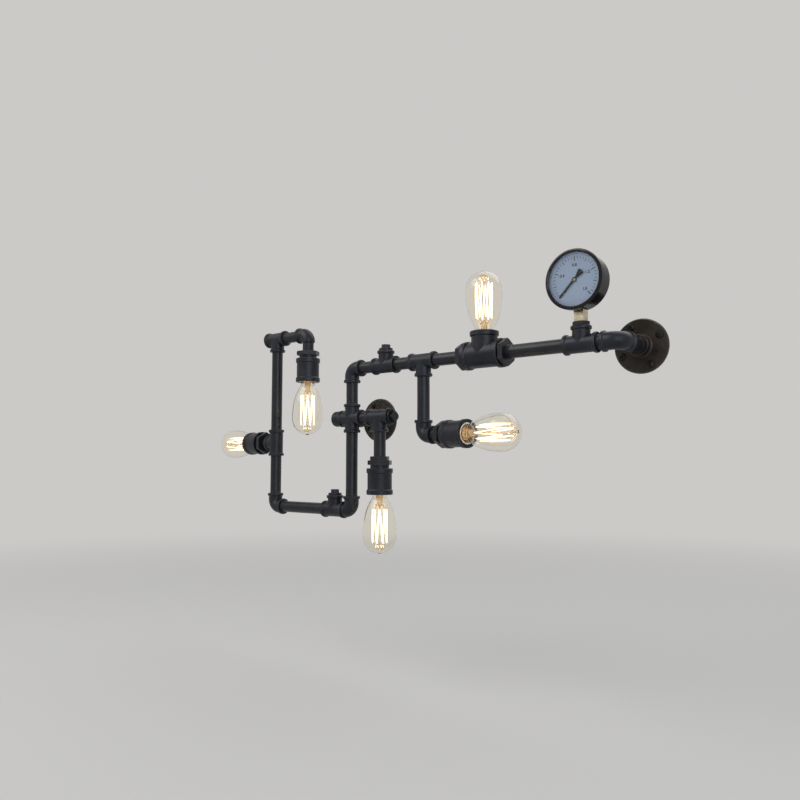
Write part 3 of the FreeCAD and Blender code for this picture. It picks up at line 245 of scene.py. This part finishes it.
def black_iron(name, dark, light, rough, grain_size, grain_depth):
    """Oiled black iron: uneven tone, cast grain, rubbed edges, a rusty fleck."""
    rust_brown = (0.085, 0.048, 0.026)
    rubbed_grey = (0.10, 0.10, 0.105)
    finish, nodes, links, shader = start_finish(name)
    clouds = grain(nodes, links, size=0.022, detail=4.0)
    uneven = spread(nodes, links, clouds, (0.3, 0.7), (0.0, 1.0))
    tone = blend_colour(nodes, links, uneven, dark, light)
    flecks = grain(nodes, links, size=0.0045, detail=2.0)
    rust = spread(nodes, links, flecks, (0.66, 0.82), (0.0, 0.25))
    tone = blend_colour(nodes, links, rust, tone, rust_brown)
    edge = nodes.new("ShaderNodeMath")
    edge.operation = "MULTIPLY"
    links.new(worn_edges(nodes, links, width=0.0009), edge.inputs[0])
    rubbed = spread(nodes, links, clouds, (0.35, 0.65), (0.15, 0.75))
    links.new(rubbed, edge.inputs[1])
    tone = blend_colour(nodes, links, edge.outputs[0], tone, rubbed_grey)
    links.new(tone, shader.inputs["Base Color"])
    fine = grain(nodes, links, grain_size, detail=3.0)
    shine = spread(nodes, links, fine, (0.3, 0.7), (rough - 0.08, rough + 0.1))
    links.new(shine, shader.inputs["Roughness"])
    coarse = grain(nodes, links, grain_size * 6, detail=2.0)
    skin = relief(nodes, links, fine, grain_depth)
    skin = relief(nodes, links, coarse, grain_depth * 3, under=skin)
    links.new(skin, shader.inputs["Normal"])
    shader.inputs["Metallic"].default_value = 0.35
    shader.inputs["Specular IOR Level"].default_value = 0.32
    shader.inputs["Coat Weight"].default_value = 0.14
    shader.inputs["Coat Roughness"].default_value = 0.3
    return finish


def wear(finish, *node_names):
    """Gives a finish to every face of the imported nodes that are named."""
    for node_name in node_names:
        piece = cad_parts[node_name]
        piece.data.materials.clear()
        piece.data.materials.append(finish)


# The flanges' warm brown tone is painted warm light from the bulbs near them, laid into the
# iron's colour.
plate_iron_painted_glow = black_iron(
    "plate_iron_painted_warm_light", dark=(0.012, 0.010, 0.009), light=(0.040, 0.028, 0.020),
    rough=0.42, grain_size=0.0011, grain_depth=0.00010,
)
wear(plate_iron_painted_glow, "wall_flanges")

main_run = 0.0909
right_end = 0.515
flange_middles = [(0.0, 0.0), (right_end, main_run)]
flange_face = -0.006
screw_circle = 0.032
screw_turn = math.radians(26.0)
screws_per_flange = 4
slot_size = (0.0011, 0.02, 0.0018)
slot_middle = (0, 0, 0.0026)
slot_spread = 3.7
screw_head = [
    (0.0, 0.0030), (0.0022, 0.0029), (0.0042, 0.0023), (0.0056, 0.0012),
    (0.0060, 0.0003), (0.0060, 0.0), (0.0029, 0.0), (0.0029, -0.0055), (0.0, -0.0055),
]


def turned_mesh(name, outline, turns=40):
    """A mesh of revolution about Z from (radius, height) points."""
    shape = bmesh.new()
    points = [shape.verts.new((r, 0.0, z)) for r, z in outline]
    edges = [shape.edges.new(pair) for pair in zip(points, points[1:])]
    bmesh.ops.spin(
        shape, geom=points + edges, cent=(0, 0, 0), axis=(0, 0, 1),
        angle=math.tau, steps=turns, use_duplicate=False,
    )
    bmesh.ops.remove_doubles(shape, verts=shape.verts[:], dist=1e-6)
    bmesh.ops.recalc_face_normals(shape, faces=shape.faces[:])
    mesh = bpy.data.meshes.new(name)
    shape.to_mesh(mesh)
    shape.free()
    for face in mesh.polygons:
        face.use_smooth = True
    mesh.set_sharp_from_angle(angle=math.radians(38))
    return mesh


def add_piece(name, data, body, finish, place=Matrix.Identity(4)):
    """Puts a new piece in the scene, on its body and in its finish."""
    piece = bpy.data.objects.new(name, data)
    piece.matrix_world = place
    bpy.context.scene.collection.objects.link(piece)
    data.materials.clear()
    data.materials.append(finish)
    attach(piece, body)
    return piece


def facing(direction, roll=0.0):
    """The turn that points a piece's Z axis along a direction."""
    turn = Vector(direction).to_track_quat("Z", "Y").to_matrix().to_4x4()
    return turn @ Matrix.Rotation(roll, 4, "Z")


screw_steel = even_finish(
    "screw_steel", size=0.0006, detail=2.0, rough=(0.38, 0.55), depth=0.00004,
    colours=((0.020, 0.020, 0.022), (0.045, 0.042, 0.040)), fixed=[("Metallic", 1.0)],
)

for flange, (middle_x, middle_z) in enumerate(flange_middles):
    for number in range(screws_per_flange):
        turn = screw_turn + number * math.tau / screws_per_flange
        head = turned_mesh(f"flange_screw_{flange}_{number}", screw_head, 32)
        slot_shape = bmesh.new()
        bmesh.ops.create_cube(
            slot_shape, size=1.0,
            matrix=Matrix.Translation(slot_middle) @ Matrix.Diagonal((*slot_size, 1)),
        )
        slot_mesh = bpy.data.meshes.new("screw_slot")
        slot_shape.to_mesh(slot_mesh)
        slot_shape.free()
        spot = (
            middle_x + screw_circle * math.cos(turn),
            flange_face,
            middle_z + screw_circle * math.sin(turn),
        )
        place = Matrix.Translation(spot) @ facing((0, -1, 0), turn * slot_spread)
        screw = add_piece(head.name, head, "pipework", screw_steel, place)
        cutter = bpy.data.objects.new("screw_slot", slot_mesh)
        cutter.matrix_world = place
        bpy.context.scene.collection.objects.link(cutter)
        slot_cut = screw.modifiers.new("slot", "BOOLEAN")
        slot_cut.operation = "DIFFERENCE"
        slot_cut.solver = "EXACT"
        slot_cut.object = cutter
        bpy.context.view_layer.update()
        finished = bpy.data.meshes.new_from_object(
            screw.evaluated_get(bpy.context.evaluated_depsgraph_get())
        )
        screw.modifiers.clear()
        screw.data = finished
        bpy.data.objects.remove(cutter)

# ------------------------------------------------------------ pipes and nipples
# Half-inch black steel pipe, drawn smooth and cut to length, with a taper
# thread on each end. A few turns of thread stay in sight at each joint.

drawn_pipe = black_iron(
    "drawn_black_pipe", dark=(0.009, 0.010, 0.0135), light=(0.017, 0.019, 0.025),
    rough=0.33, grain_size=0.0008, grain_depth=0.00003,
)
wear(
    drawn_pipe, "left_riser_pipes", "right_riser_pipes", "bottom_pipe", "drop_pipe",
    "long_pipe", "wall_nipples", "short_nipples", "side_arm_nipple",
)

pipe_plane = -0.079
pipe_radius = 0.01065
pipe_pitch = 0.0018
thread_sink = 0.0001
thread_steps = 28
thread_fade = 6.0
flange_hub_face = -0.017
tee_arm = 0.026
elbow_arm = 0.0255
inch_tee_arm = 0.044
left_riser = -0.2095
bottom_run = -0.1665
top_arm_height = 0.168
left_lamp_height = -0.041
side_arm_height = -0.0345
top_lamp_line = -0.119
down_lamp_line = 0.068
plain_tee = 0.082
drop_tee = 0.1665
inch_tee = 0.290
gauge_tee = 0.457
bottom_tee = -0.0425
left_swing = math.radians(8.5)
side_swing = math.radians(9.5)
up, down = (0, 0, 1), (0, 0, -1)
right, left = (1, 0, 0), (-1, 0, 0)
back = (0, 1, 0)
to_left_lamp = (-math.cos(left_swing), math.sin(left_swing), 0)
to_side_lamp = (math.cos(side_swing), -math.sin(side_swing), 0)
left_joint = Vector((left_riser, pipe_plane, left_lamp_height))
side_joint = Vector((drop_tee, pipe_plane, side_arm_height))


def thread_spline(curve, start, direction, radius, pitch, turns, wire):
    """Adds one helix of thread crest to a curve, thinned at both its ends."""
    steps = int(turns * thread_steps)
    line = curve.splines.new("POLY")
    line.points.add(steps)
    turn = facing(direction)
    for index in range(steps + 1):
        share = index / steps
        angle = share * turns * math.tau
        fade = min(1.0, thread_fade * share, thread_fade * (1.0 - share))
        spot = Vector((radius * math.cos(angle), radius * math.sin(angle), share * turns * pitch))
        spot = Vector(start) + turn.to_3x3() @ spot
        line.points[index].co = (*spot, 1.0)
        line.points[index].radius = max(0.05, fade)
    curve.bevel_depth = wire


def new_curve(name, resolution=1):
    """An empty round wire, with more facets the higher its resolution."""
    curve = bpy.data.curves.new(name, "CURVE")
    curve.dimensions = "3D"
    curve.bevel_resolution = resolution
    curve.use_fill_caps = True
    return curve


def pipe_thread(curve, mouth, direction):
    """The turns of half-inch thread that show where a pipe leaves a mouth."""
    crest = pipe_radius - thread_sink
    thread_spline(curve, mouth, direction, crest, pipe_pitch, turns=2.6, wire=0.00042)


# where a pipe comes out of a fitting: crossing, arm of the fitting, direction
pipe_mouths = [
    ((0.0, 0.0), tee_arm, up), ((0.0, 0.0), tee_arm, down), ((0.0, 0.0), tee_arm, right),
    ((0.0, 0.0), tee_arm, back), ((0.0, main_run), elbow_arm, down),
    ((0.0, main_run), elbow_arm, right), ((plain_tee, main_run), tee_arm, left),
    ((plain_tee, main_run), tee_arm, right), ((drop_tee, main_run), tee_arm, left),
    ((drop_tee, main_run), tee_arm, right), ((drop_tee, main_run), tee_arm, down),
    ((inch_tee, main_run), inch_tee_arm, left), ((inch_tee, main_run), inch_tee_arm, right),
    ((gauge_tee, main_run), tee_arm, left), ((gauge_tee, main_run), tee_arm, right),
    ((right_end, main_run), elbow_arm, left), ((right_end, main_run), elbow_arm, back),
    ((0.0, bottom_run), elbow_arm, up), ((bottom_tee, bottom_run), tee_arm, left),
    ((left_riser, bottom_run), elbow_arm, right), ((left_riser, bottom_run), elbow_arm, up),
    ((left_riser, left_lamp_height), tee_arm, down),
    ((left_riser, left_lamp_height), tee_arm, up),
    ((left_riser, top_arm_height), tee_arm, down),
    ((left_riser, top_arm_height), tee_arm, right),
    ((top_lamp_line, top_arm_height), elbow_arm, left), ((down_lamp_line, 0.0), tee_arm, down),
    ((down_lamp_line, 0.0), tee_arm, left), ((drop_tee, side_arm_height), elbow_arm, up),
]
threads = new_curve("pipe_threads")
for (mouth_x, mouth_z), arm, direction in pipe_mouths:
    mouth = Vector((mouth_x, pipe_plane, mouth_z)) + arm * Vector(direction)
    pipe_thread(threads, mouth, direction)
pipe_thread(threads, left_joint + tee_arm * Vector(to_left_lamp), to_left_lamp)
for middle_x, middle_z in flange_middles:
    pipe_thread(threads, (middle_x, flange_hub_face, middle_z), (0, -1, 0))
add_piece("pipe_threads", threads, "pipework", drawn_pipe)

side_threads = new_curve("side_arm_threads")
pipe_thread(side_threads, side_joint + elbow_arm * Vector(to_side_lamp), to_side_lamp)
add_piece("side_arm_threads", side_threads, "side_arm", drawn_pipe)

# --------------------------------------------------------------------- fittings
# Tees, elbows, the cross, its cap and the plugs are malleable iron castings
# with a rolled bead at each mouth, screwed hand-tight onto the pipe.

cast_iron = black_iron(
    "cast_black_iron", dark=(0.007, 0.008, 0.0125), light=(0.016, 0.018, 0.027),
    rough=0.42, grain_size=0.0011, grain_depth=0.00010,
)
wear(
    cast_iron, "cross_fitting", "cross_cap", "frame_elbows", "run_tees", "frame_tees",
    "tee_plugs", "big_tee", "top_arm_elbow", "side_arm_elbow",
)

seam_height = 0.00022
body_radius = 0.0132
big_radius = 0.0210
bend_radius = 0.014
bead_foot = 0.0200
arm_foot = 0.0135
big_bead_foot = 0.0265
bend_end = 0.006
bend_steps = 8


def seam_line(curve, points):
    """A raised casting seam along points of the mould's parting plane."""
    line = curve.splines.new("POLY")
    line.points.add(len(points) - 1)
    for spot, point in zip(line.points, points):
        spot.co = (*point, 1.0)
    curve.bevel_depth = seam_height


def seam_straight(curve, middle, direction, side, start, end, radius):
    """A seam along one side of a fitting's arm."""
    foot = Vector((middle[0], pipe_plane, middle[1])) + radius * Vector(side)
    run = Vector(direction)
    seam_line(curve, [foot + start * run, foot + end * run])


seams = new_curve("casting_seams")
for middle, blank in (
    ((plain_tee, main_run), down), ((drop_tee, main_run), up), ((gauge_tee, main_run), down),
    ((left_riser, top_arm_height), up), ((bottom_tee, bottom_run), down),
    ((down_lamp_line, 0.0), up),
):
    seam_straight(seams, middle, right, blank, -bead_foot, bead_foot, body_radius)
    stem = tuple(-part for part in blank)
    for side in (left, right):
        seam_straight(seams, middle, stem, side, arm_foot, bead_foot, body_radius)
for direction, sides in (
    (up, (left, right)), (down, (left, right)), (right, (up, down)), (left, (up, down)),
):
    for side in sides:
        seam_straight(seams, (0.0, 0.0), direction, side, arm_foot, bead_foot, body_radius)
seam_straight(seams, (inch_tee, main_run), right, down, -big_bead_foot, big_bead_foot, big_radius)
for middle, first, second in (
    ((0.0, main_run), down, right), ((left_riser, bottom_run), right, up),
    ((0.0, bottom_run), up, left),
):
    centre = Vector((middle[0], pipe_plane, middle[1]))
    one, two = Vector(first), Vector(second)
    hinge = centre + bend_radius * (one + two)
    outer = bend_radius + body_radius
    arc = []
    for step in range(bend_steps + 1):
        swing = step * math.pi / 2 / bend_steps
        arc.append(hinge - outer * (math.cos(swing) * two + math.sin(swing) * one))
    seam_line(seams, [arc[0] + bend_end * one] + arc + [arc[-1] + bend_end * two])
add_piece("casting_seams", seams, "pipework", cast_iron)

# --------------------------------------------------------- bushings and lamp cups
# Hexagon bushings of turned iron step the half-inch pipe up to one-inch
# couplings, which serve as the lamp cups.

turned_iron = black_iron(
    "turned_black_iron", dark=(0.008, 0.009, 0.0125), light=(0.017, 0.019, 0.025),
    rough=0.36, grain_size=0.0007, grain_depth=0.00005,
)
wear(
    turned_iron, "big_tee_bushings", "down_lamp_small_bushing", "down_lamp_large_bushing",
    "left_lamp_bushing", "top_arm_bushing", "side_arm_bushing",
)
wear(cast_iron, "left_lamp_cup", "down_lamp_cup", "top_lamp_cup", "side_lamp_cup")

inch_radius = 0.01665
inch_pitch = 0.0023
left_cup_reach = 0.0965
side_cup_reach = 0.104
bushing_neck = 0.052
run_neck = 0.0345
top_cup_mouth = 0.075
down_cup_mouth = -0.1365
inch_tee_mouth = 0.1234
# mouth of each lamp's cup or tee, the way it faces, and the body it rides on
lamp_mouths = {
    "top": (Vector((top_lamp_line, pipe_plane, top_cup_mouth)), down, "top_arm"),
    "left": (left_joint + left_cup_reach * Vector(to_left_lamp), to_left_lamp, "pipework"),
    "down": (Vector((down_lamp_line, pipe_plane, down_cup_mouth)), down, "pipework"),
    "upright": (Vector((inch_tee, pipe_plane, inch_tee_mouth)), up, "pipework"),
    "side": (side_joint + side_cup_reach * Vector(to_side_lamp), to_side_lamp, "side_arm"),
}


def inch_thread(curve, foot, direction, turns):
    """The turns of one-inch thread on the neck of a bushing."""
    crest = inch_radius - thread_sink
    thread_spline(curve, foot, direction, crest, inch_pitch, turns, wire=0.0005)


run_necks = new_curve("run_bushing_threads")
for direction in (left, right):
    foot = Vector((inch_tee, pipe_plane, main_run)) + run_neck * Vector(direction)
    inch_thread(run_necks, foot, direction, turns=0.64)
add_piece("run_bushing_threads", run_necks, "pipework", turned_iron)
for lamp, (mouth, direction, body) in lamp_mouths.items():
    if lamp != "upright":
        neck = new_curve(f"{lamp}_bushing_thread")
        inch_thread(neck, mouth - bushing_neck * Vector(direction), direction, turns=2.4)
        add_piece(neck.name, neck, body, turned_iron)

# ----------------------------------------------------------------- lamp holders
# A glazed white porcelain cup sits in each lamp cup. A brass shell with a
# rolled thread and a sprung tongue on its floor take the bulb.

porcelain, nodes, links, shader = start_finish("glazed_porcelain")
cloudy = grain(nodes, links, size=0.012, detail=3.0)
tone = blend_colour(nodes, links, cloudy, (0.80, 0.785, 0.75), (0.86, 0.85, 0.82))
specks = grain(nodes, links, size=0.0015, detail=1.0)
specks = spread(nodes, links, specks, (0.70, 0.78), (0.0, 0.5))
tone = blend_colour(nodes, links, specks, tone, (0.55, 0.50, 0.43))
links.new(tone, shader.inputs["Base Color"])
shine = spread(nodes, links, cloudy, (0.3, 0.7), (0.22, 0.32))
links.new(shine, shader.inputs["Roughness"])
links.new(relief(nodes, links, cloudy, depth=0.00012), shader.inputs["Normal"])
shader.inputs["Coat Weight"].default_value = 0.4
shader.inputs["Coat Roughness"].default_value = 0.08
wear(porcelain, "frame_lamp_holders", "top_lamp_holder", "side_lamp_holder")


def metal_finish(name, dull, bright, rough):
    """Bare brass or tin with cloudy tarnish and fine scratches."""
    finish, nodes, links, shader = start_finish(name)
    tarnish = grain(nodes, links, size=0.007, detail=4.0)
    tarnish = spread(nodes, links, tarnish, (0.35, 0.65), (0.0, 1.0))
    links.new(blend_colour(nodes, links, tarnish, dull, bright), shader.inputs["Base Color"])
    scratch = grain(nodes, links, size=0.0006, detail=3.0, stretch=(1.0, 1.0, 8.0))
    shine = spread(nodes, links, scratch, (0.3, 0.7), (rough - 0.08, rough + 0.12))
    links.new(shine, shader.inputs["Roughness"])
    links.new(relief(nodes, links, scratch, depth=0.00003), shader.inputs["Normal"])
    shader.inputs["Metallic"].default_value = 1.0
    return finish


contact_brass = metal_finish(
    "contact_brass", dull=(0.66, 0.42, 0.13), bright=(0.86, 0.60, 0.24), rough=0.38
)
wear(contact_brass, "frame_lamp_contacts", "top_lamp_contacts", "side_lamp_contacts")

cap_radius = 0.0132
cap_pitch = 0.0036
shell_radius = cap_radius + 0.0008
shell_foot = 0.024
for lamp, (mouth, direction, body) in lamp_mouths.items():
    shell = new_curve(f"{lamp}_holder_thread", 2)
    foot = mouth - shell_foot * Vector(direction)
    thread_spline(shell, foot, direction, shell_radius, cap_pitch, turns=4.6, wire=0.00035)
    add_piece(shell.name, shell, body, contact_brass)

# ------------------------------------------------------------------------ bulbs
# Pear-shaped carbon-style bulbs: a worn, tinned brass screw cap, a blown glass
# envelope and, on a glass stem, a squirrel cage of glowing wire on cold hooks.

tinned_cap = metal_finish(
    "tinned_cap", dull=(0.56, 0.37, 0.14), bright=(0.78, 0.57, 0.29), rough=0.45
)
bulb_glass = even_finish(
    "bulb_glass", size=0.03, detail=2.0, rough=(0.0, 0.006), depth=0.00006,
    colours=((1.0, 0.965, 0.89), (1.0, 0.98, 0.93)),
    fixed=[("Transmission Weight", 1.0), ("IOR", 1.45), ("Specular IOR Level", 0.2)],
)

glow, nodes, links, shader = start_finish("glowing_wire")
heat = grain(nodes, links, size=0.006, detail=2.0)
shader.inputs["Base Color"].default_value = (0.9, 0.5, 0.2, 1.0)
shader.inputs["Roughness"].default_value = 0.5
links.new(
    blend_colour(nodes, links, heat, (1.0, 0.72, 0.34), (1.0, 0.80, 0.46)),
    shader.inputs["Emission Color"],
)
shader.inputs["Emission Strength"].default_value = 3.6

# The stem and its glass button carry a faint amber emission: painted glow of the hot wire's light
# in the glass, though they are no lamp.
stem_glass_painted_glow = even_finish(
    "stem_glass_painted_glow", size=0.004, detail=2.0, rough=(0.14, 0.26), depth=0.00005,
    colours=((1.0, 0.86, 0.62), (1.0, 0.93, 0.78)),
    fixed=[
        ("Transmission Weight", 0.6), ("IOR", 1.45),
        ("Emission Color", (1.0, 0.56, 0.16, 1.0)), ("Emission Strength", 0.09),
    ],
)

support_wire = metal_finish(
    "support_wire", dull=(0.62, 0.44, 0.22), bright=(0.80, 0.62, 0.36), rough=0.30
)

cage_low = 0.026
cage_high = 0.083
cage_foot_radius = 0.0126
cage_crown_radius = 0.0134
cage_hooks = 8
hot_wire = 0.00062
cold_wire = 0.0007
wire_bow = 0.06
cap_crest = cap_radius - 0.0002
cap_thread_foot = (0, 0, -0.0185)
rod_heights = (0.021, 0.055, 0.0882)
# (distance from the bulb's axis, height) along a hook and a lead-in wire
foot_bends = [(0.0015, 0.0195), (0.0068, 0.0165), (0.0076, 0.0200)]
crown_bends = [(0.0012, 0.0962), (0.0052, 0.0960), (0.0074, 0.0912), (0.0070, 0.0886)]
lead_bends = [(0.003, -0.006), (0.0034, 0.010), (0.007, 0.018)]
stem_outline = [
    (0.0, -0.0068), (0.0108, -0.0068), (0.0102, -0.003), (0.0068, 0.002), (0.0052, 0.008),
    (0.0050, 0.012), (0.0040, 0.016), (0.0030, 0.019), (0.0026, 0.0225), (0.0, 0.0235),
]
crown_outline = [
    (0.0, 0.0880), (0.0014, 0.0884), (0.0024, 0.0900), (0.0028, 0.0920), (0.0026, 0.0940),
    (0.0018, 0.0956), (0.0009, 0.0962), (0.0, 0.0964),
]


def cage_spot(number, high):
    """The hook that the wire passes, low on the stem or high on the rod."""
    turn = math.tau * (number + (0.5 if high else 0.0)) / cage_hooks
    out = cage_crown_radius if high else cage_foot_radius
    return Vector((out * math.cos(turn), out * math.sin(turn), cage_high if high else cage_low))


def smooth_line(curve, points, wire, share=1.0):
    """A thin wire through points, at a share of the curve's full thickness."""
    line = curve.splines.new("NURBS")
    line.points.add(len(points) - 1)
    for spot, point in zip(line.points, points):
        spot.co = (*point, 1.0)
        spot.radius = share
    line.order_u = 3
    line.use_endpoint_u = True
    curve.bevel_depth = wire


for lamp, (mouth, direction, _) in lamp_mouths.items():
    body = f"{lamp}_bulb"
    seat = Matrix.Translation(mouth) @ facing(direction)
    wear(tinned_cap, f"{lamp}_bulb_base")
    wear(bulb_glass, f"{lamp}_bulb_glass")
    cap_thread = new_curve(f"{lamp}_cap_thread", 2)
    thread_spline(cap_thread, cap_thread_foot, up, cap_crest, cap_pitch, turns=4.2, wire=0.0007)
    add_piece(cap_thread.name, cap_thread, body, tinned_cap, seat)

    stem = turned_mesh(f"{lamp}_stem", stem_outline, 32)
    stem_piece = add_piece(stem.name, stem, body, stem_glass_painted_glow, seat)

    crown = turned_mesh(f"{lamp}_glass_button", crown_outline, 24)
    crown_piece = add_piece(crown.name, crown, body, stem_glass_painted_glow, seat)

    hot = new_curve(f"{lamp}_hot_wire", 2)
    hooks = [cage_spot(number, high) for number in range(cage_hooks) for high in (False, True)]
    wire_line = [hooks[0], hooks[0]]
    for before, hook in zip(hooks, hooks[1:]):
        middle = (before + hook) / 2
        wire_line.append(middle + wire_bow * Vector((middle.x, middle.y, 0)))
        wire_line += [hook, hook]
    smooth_line(hot, wire_line, hot_wire)

    cold = new_curve(f"{lamp}_support_wires")
    smooth_line(cold, [Vector((0, 0, height)) for height in rod_heights], cold_wire)
    for number in range(cage_hooks):
        for high in (False, True):
            hook = cage_spot(number, high)
            outward = Vector((hook.x, hook.y, 0)).normalized()
            bends = crown_bends if high else foot_bends
            arm = [out * outward + Vector((0, 0, height)) for out, height in bends]
            smooth_line(cold, arm + [hook], cold_wire, 0.42)
            if high:
                smooth_line(hot, arm[2:], hot_wire, 0.7)
    for side in (-1, 1):
        lead = [Vector((side * out, 0, height)) for out, height in lead_bends]
        foot = cage_spot(0 if side > 0 else cage_hooks // 2, False)
        smooth_line(cold, lead + [foot], cold_wire, 0.45)
    hot_piece = add_piece(hot.name, hot, body, glow, seat)
    cold_piece = add_piece(cold.name, cold, body, support_wire, seat)
    for piece in (stem_piece, crown_piece, hot_piece, cold_piece):
        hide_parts(f"{lamp}_bulb_filament")

# --------------------------------------------------------------- pressure gauge
# A dry dial gauge of 89 mm: black enamelled steel case and crimped bezel, on
# a square brass stem that screws into an iron bushing in its tee.

gauge_enamel = even_finish(
    "gauge_enamel", size=0.02, detail=3.0, rough=(0.12, 0.22), depth=0.00003,
    skin_size=0.0016, colours=((0.003, 0.003, 0.004), (0.007, 0.007, 0.009)),
    fixed=[("Specular IOR Level", 0.3)],
)
wear(gauge_enamel, "gauge_case", "gauge_bezel")

gauge_brass = metal_finish(
    "gauge_brass", dull=(0.42, 0.36, 0.23), bright=(0.68, 0.62, 0.46), rough=0.24
)
wear(gauge_brass, "gauge_stem", "gauge_movement")
wear(turned_iron, "gauge_bushing")

dial_paint = even_finish(
    "dial_paint", size=0.03, detail=3.0, rough=(0.42, 0.55), depth=0.00001,
    skin_size=0.0004, colours=((0.54, 0.68, 0.93), (0.60, 0.73, 0.96)),
)
wear(dial_paint, "gauge_dial")

gauge_pane = even_finish(
    "gauge_pane", size=0.025, detail=3.0, rough=(0.0, 0.03), found=(0.4, 0.7),
    colours=((0.97, 0.99, 1.0), (1.0, 1.0, 1.0)),
    fixed=[("Transmission Weight", 1.0), ("IOR", 1.3)],
)
wear(gauge_pane, "gauge_glass")

dial_ink = even_finish(
    "dial_ink", size=0.001, detail=2.0, rough=(0.45, 0.6),
    colours=((0.004, 0.004, 0.005), (0.012, 0.012, 0.014)),
)

gauge_height = 0.182
dial_middle = Vector((gauge_tee, pipe_plane, gauge_height))
dial_front = 0.0165
ink_height = 0.00012
dial_seat = Matrix.Translation(dial_middle) @ Matrix.Rotation(math.pi / 2, 4, "X")
scale_start = math.radians(225.0)
scale_sweep = math.radians(270.0)
scale_steps = 32
dial_marks = bmesh.new()


def dial_bar(angle, inner, outer, width):
    """One printed stroke of the scale, a thin raised bar."""
    along = Vector((math.cos(angle), math.sin(angle), 0))
    across = Vector((-along.y, along.x, 0)) * (width / 2)
    corners = []
    for z in (dial_front, dial_front + ink_height):
        for out, side in ((inner, -1), (outer, -1), (outer, 1), (inner, 1)):
            corners.append(dial_marks.verts.new(along * out + across * side + Vector((0, 0, z))))
    low, high = corners[:4], corners[4:]
    dial_marks.faces.new(high)
    dial_marks.faces.new(low[::-1])
    for index in range(4):
        after = (index + 1) % 4
        dial_marks.faces.new((low[index], low[after], high[after], high[index]))


scale_rim = 0.0343
# (every how many steps, where the stroke starts, its width), longest first
scale_strokes = [(8, 0.0280, 0.0012), (4, 0.0293, 0.0008), (1, 0.0308, 0.0006)]
for step in range(scale_steps + 1):
    angle = scale_start - scale_sweep * step / scale_steps
    for every, inner, width in scale_strokes:
        if step % every == 0:
            dial_bar(angle, inner, scale_rim, width)
            break
marks_mesh = bpy.data.meshes.new("dial_marks")
dial_marks.to_mesh(marks_mesh)
dial_marks.free()
add_piece("dial_marks", marks_mesh, "pipework", dial_ink, dial_seat)

figures = ("0", "0.4", "0.8", "1.2", "1.6")
figure_size = 0.0062
figure_boldness = 0.00012
figure_circle = 0.0215
figure_middle = dial_front + ink_height / 2
for step, figure in enumerate(figures):
    angle = scale_start - scale_sweep * step / (len(figures) - 1)
    text = bpy.data.curves.new(f"dial_figure_{step}", "FONT")
    text.body = figure
    text.size = figure_size
    text.offset = figure_boldness
    text.extrude = ink_height / 2
    text.align_x = "CENTER"
    text.align_y = "CENTER"
    spot = (figure_circle * math.cos(angle), figure_circle * math.sin(angle), figure_middle)
    place = dial_seat @ Matrix.Translation(spot)
    add_piece(text.name, text, "pipework", dial_ink, place)

pointer_foot = 0.0179
pointer_top = 0.0187
# (distance along the hand, half its width), from the fan tail to the tip
pointer_half = [
    (-0.0166, 0.0018), (-0.0161, 0.0036), (-0.0153, 0.0052), (-0.0050, 0.0017),
    (-0.0034, 0.0017), (-0.0026, 0.0024), (-0.0012, 0.0034), (0.0, 0.0036), (0.0012, 0.0034),
    (0.0026, 0.0024), (0.0034, 0.0017), (0.0275, 0.0013), (0.0285, 0.0018), (0.0335, 0.0010),
    (0.0345, 0.0),
]
pointer_outline = pointer_half + [(along, -side) for along, side in reversed(pointer_half[:-1])]
pointer_shape = bmesh.new()
pointer_rings = [
    [pointer_shape.verts.new((along, side, height)) for along, side in pointer_outline]
    for height in (pointer_foot, pointer_top)
]
low, high = pointer_rings
pointer_shape.faces.new(low)
pointer_shape.faces.new(high[::-1])
for second in range(len(pointer_outline)):
    first = second - 1
    pointer_shape.faces.new((low[first], high[first], high[second], low[second]))
bmesh.ops.recalc_face_normals(pointer_shape, faces=pointer_shape.faces)
pointer_mesh = bpy.data.meshes.new("pointer_blade")
pointer_shape.to_mesh(pointer_mesh)
pointer_shape.free()
pointer_blade = add_piece(
    "pointer_blade", pointer_mesh, "gauge_hand", dial_ink,
    dial_seat @ Matrix.Rotation(scale_start, 4, "Z"),
)
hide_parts("gauge_pointer")
cap_outline = [
    (0.0, 0.0196), (0.0007, 0.0195), (0.0012, 0.0192), (0.0014, 0.0188), (0.0022, 0.0188),
    (0.0024, 0.0186), (0.0024, 0.0178), (0.0010, 0.0178), (0.0010, 0.0090), (0.0, 0.0090),
]
pointer_cap = turned_mesh("pointer_cap", cap_outline)
add_piece("pointer_cap", pointer_cap, "gauge_hand", gauge_brass, dial_seat)

vent_middle = (0, 0.022, 0)
vent_outline = [
    (0.0, -0.0132), (0.006, -0.0132), (0.0078, -0.0124), (0.0082, -0.0116), (0.0082, -0.0108),
]
vent = turned_mesh("case_vent", vent_outline)
vent_place = dial_seat @ Matrix.Translation(vent_middle)
add_piece("case_vent", vent, "pipework", dial_ink, vent_place)

# ----------------------------------------------------------------- supply cables
# A black rubber-covered cable runs hidden in the pipes from the left wall
# plate to each lamp, with sleeves where it branches.

rubber = even_finish(
    "cable_rubber", size=0.003, detail=3.0, rough=(0.6, 0.75), depth=0.00005,
    colours=((0.014, 0.014, 0.014), (0.03, 0.03, 0.03)),
)
wear(rubber, "supply_loom", "top_arm_cable", "side_arm_cable")
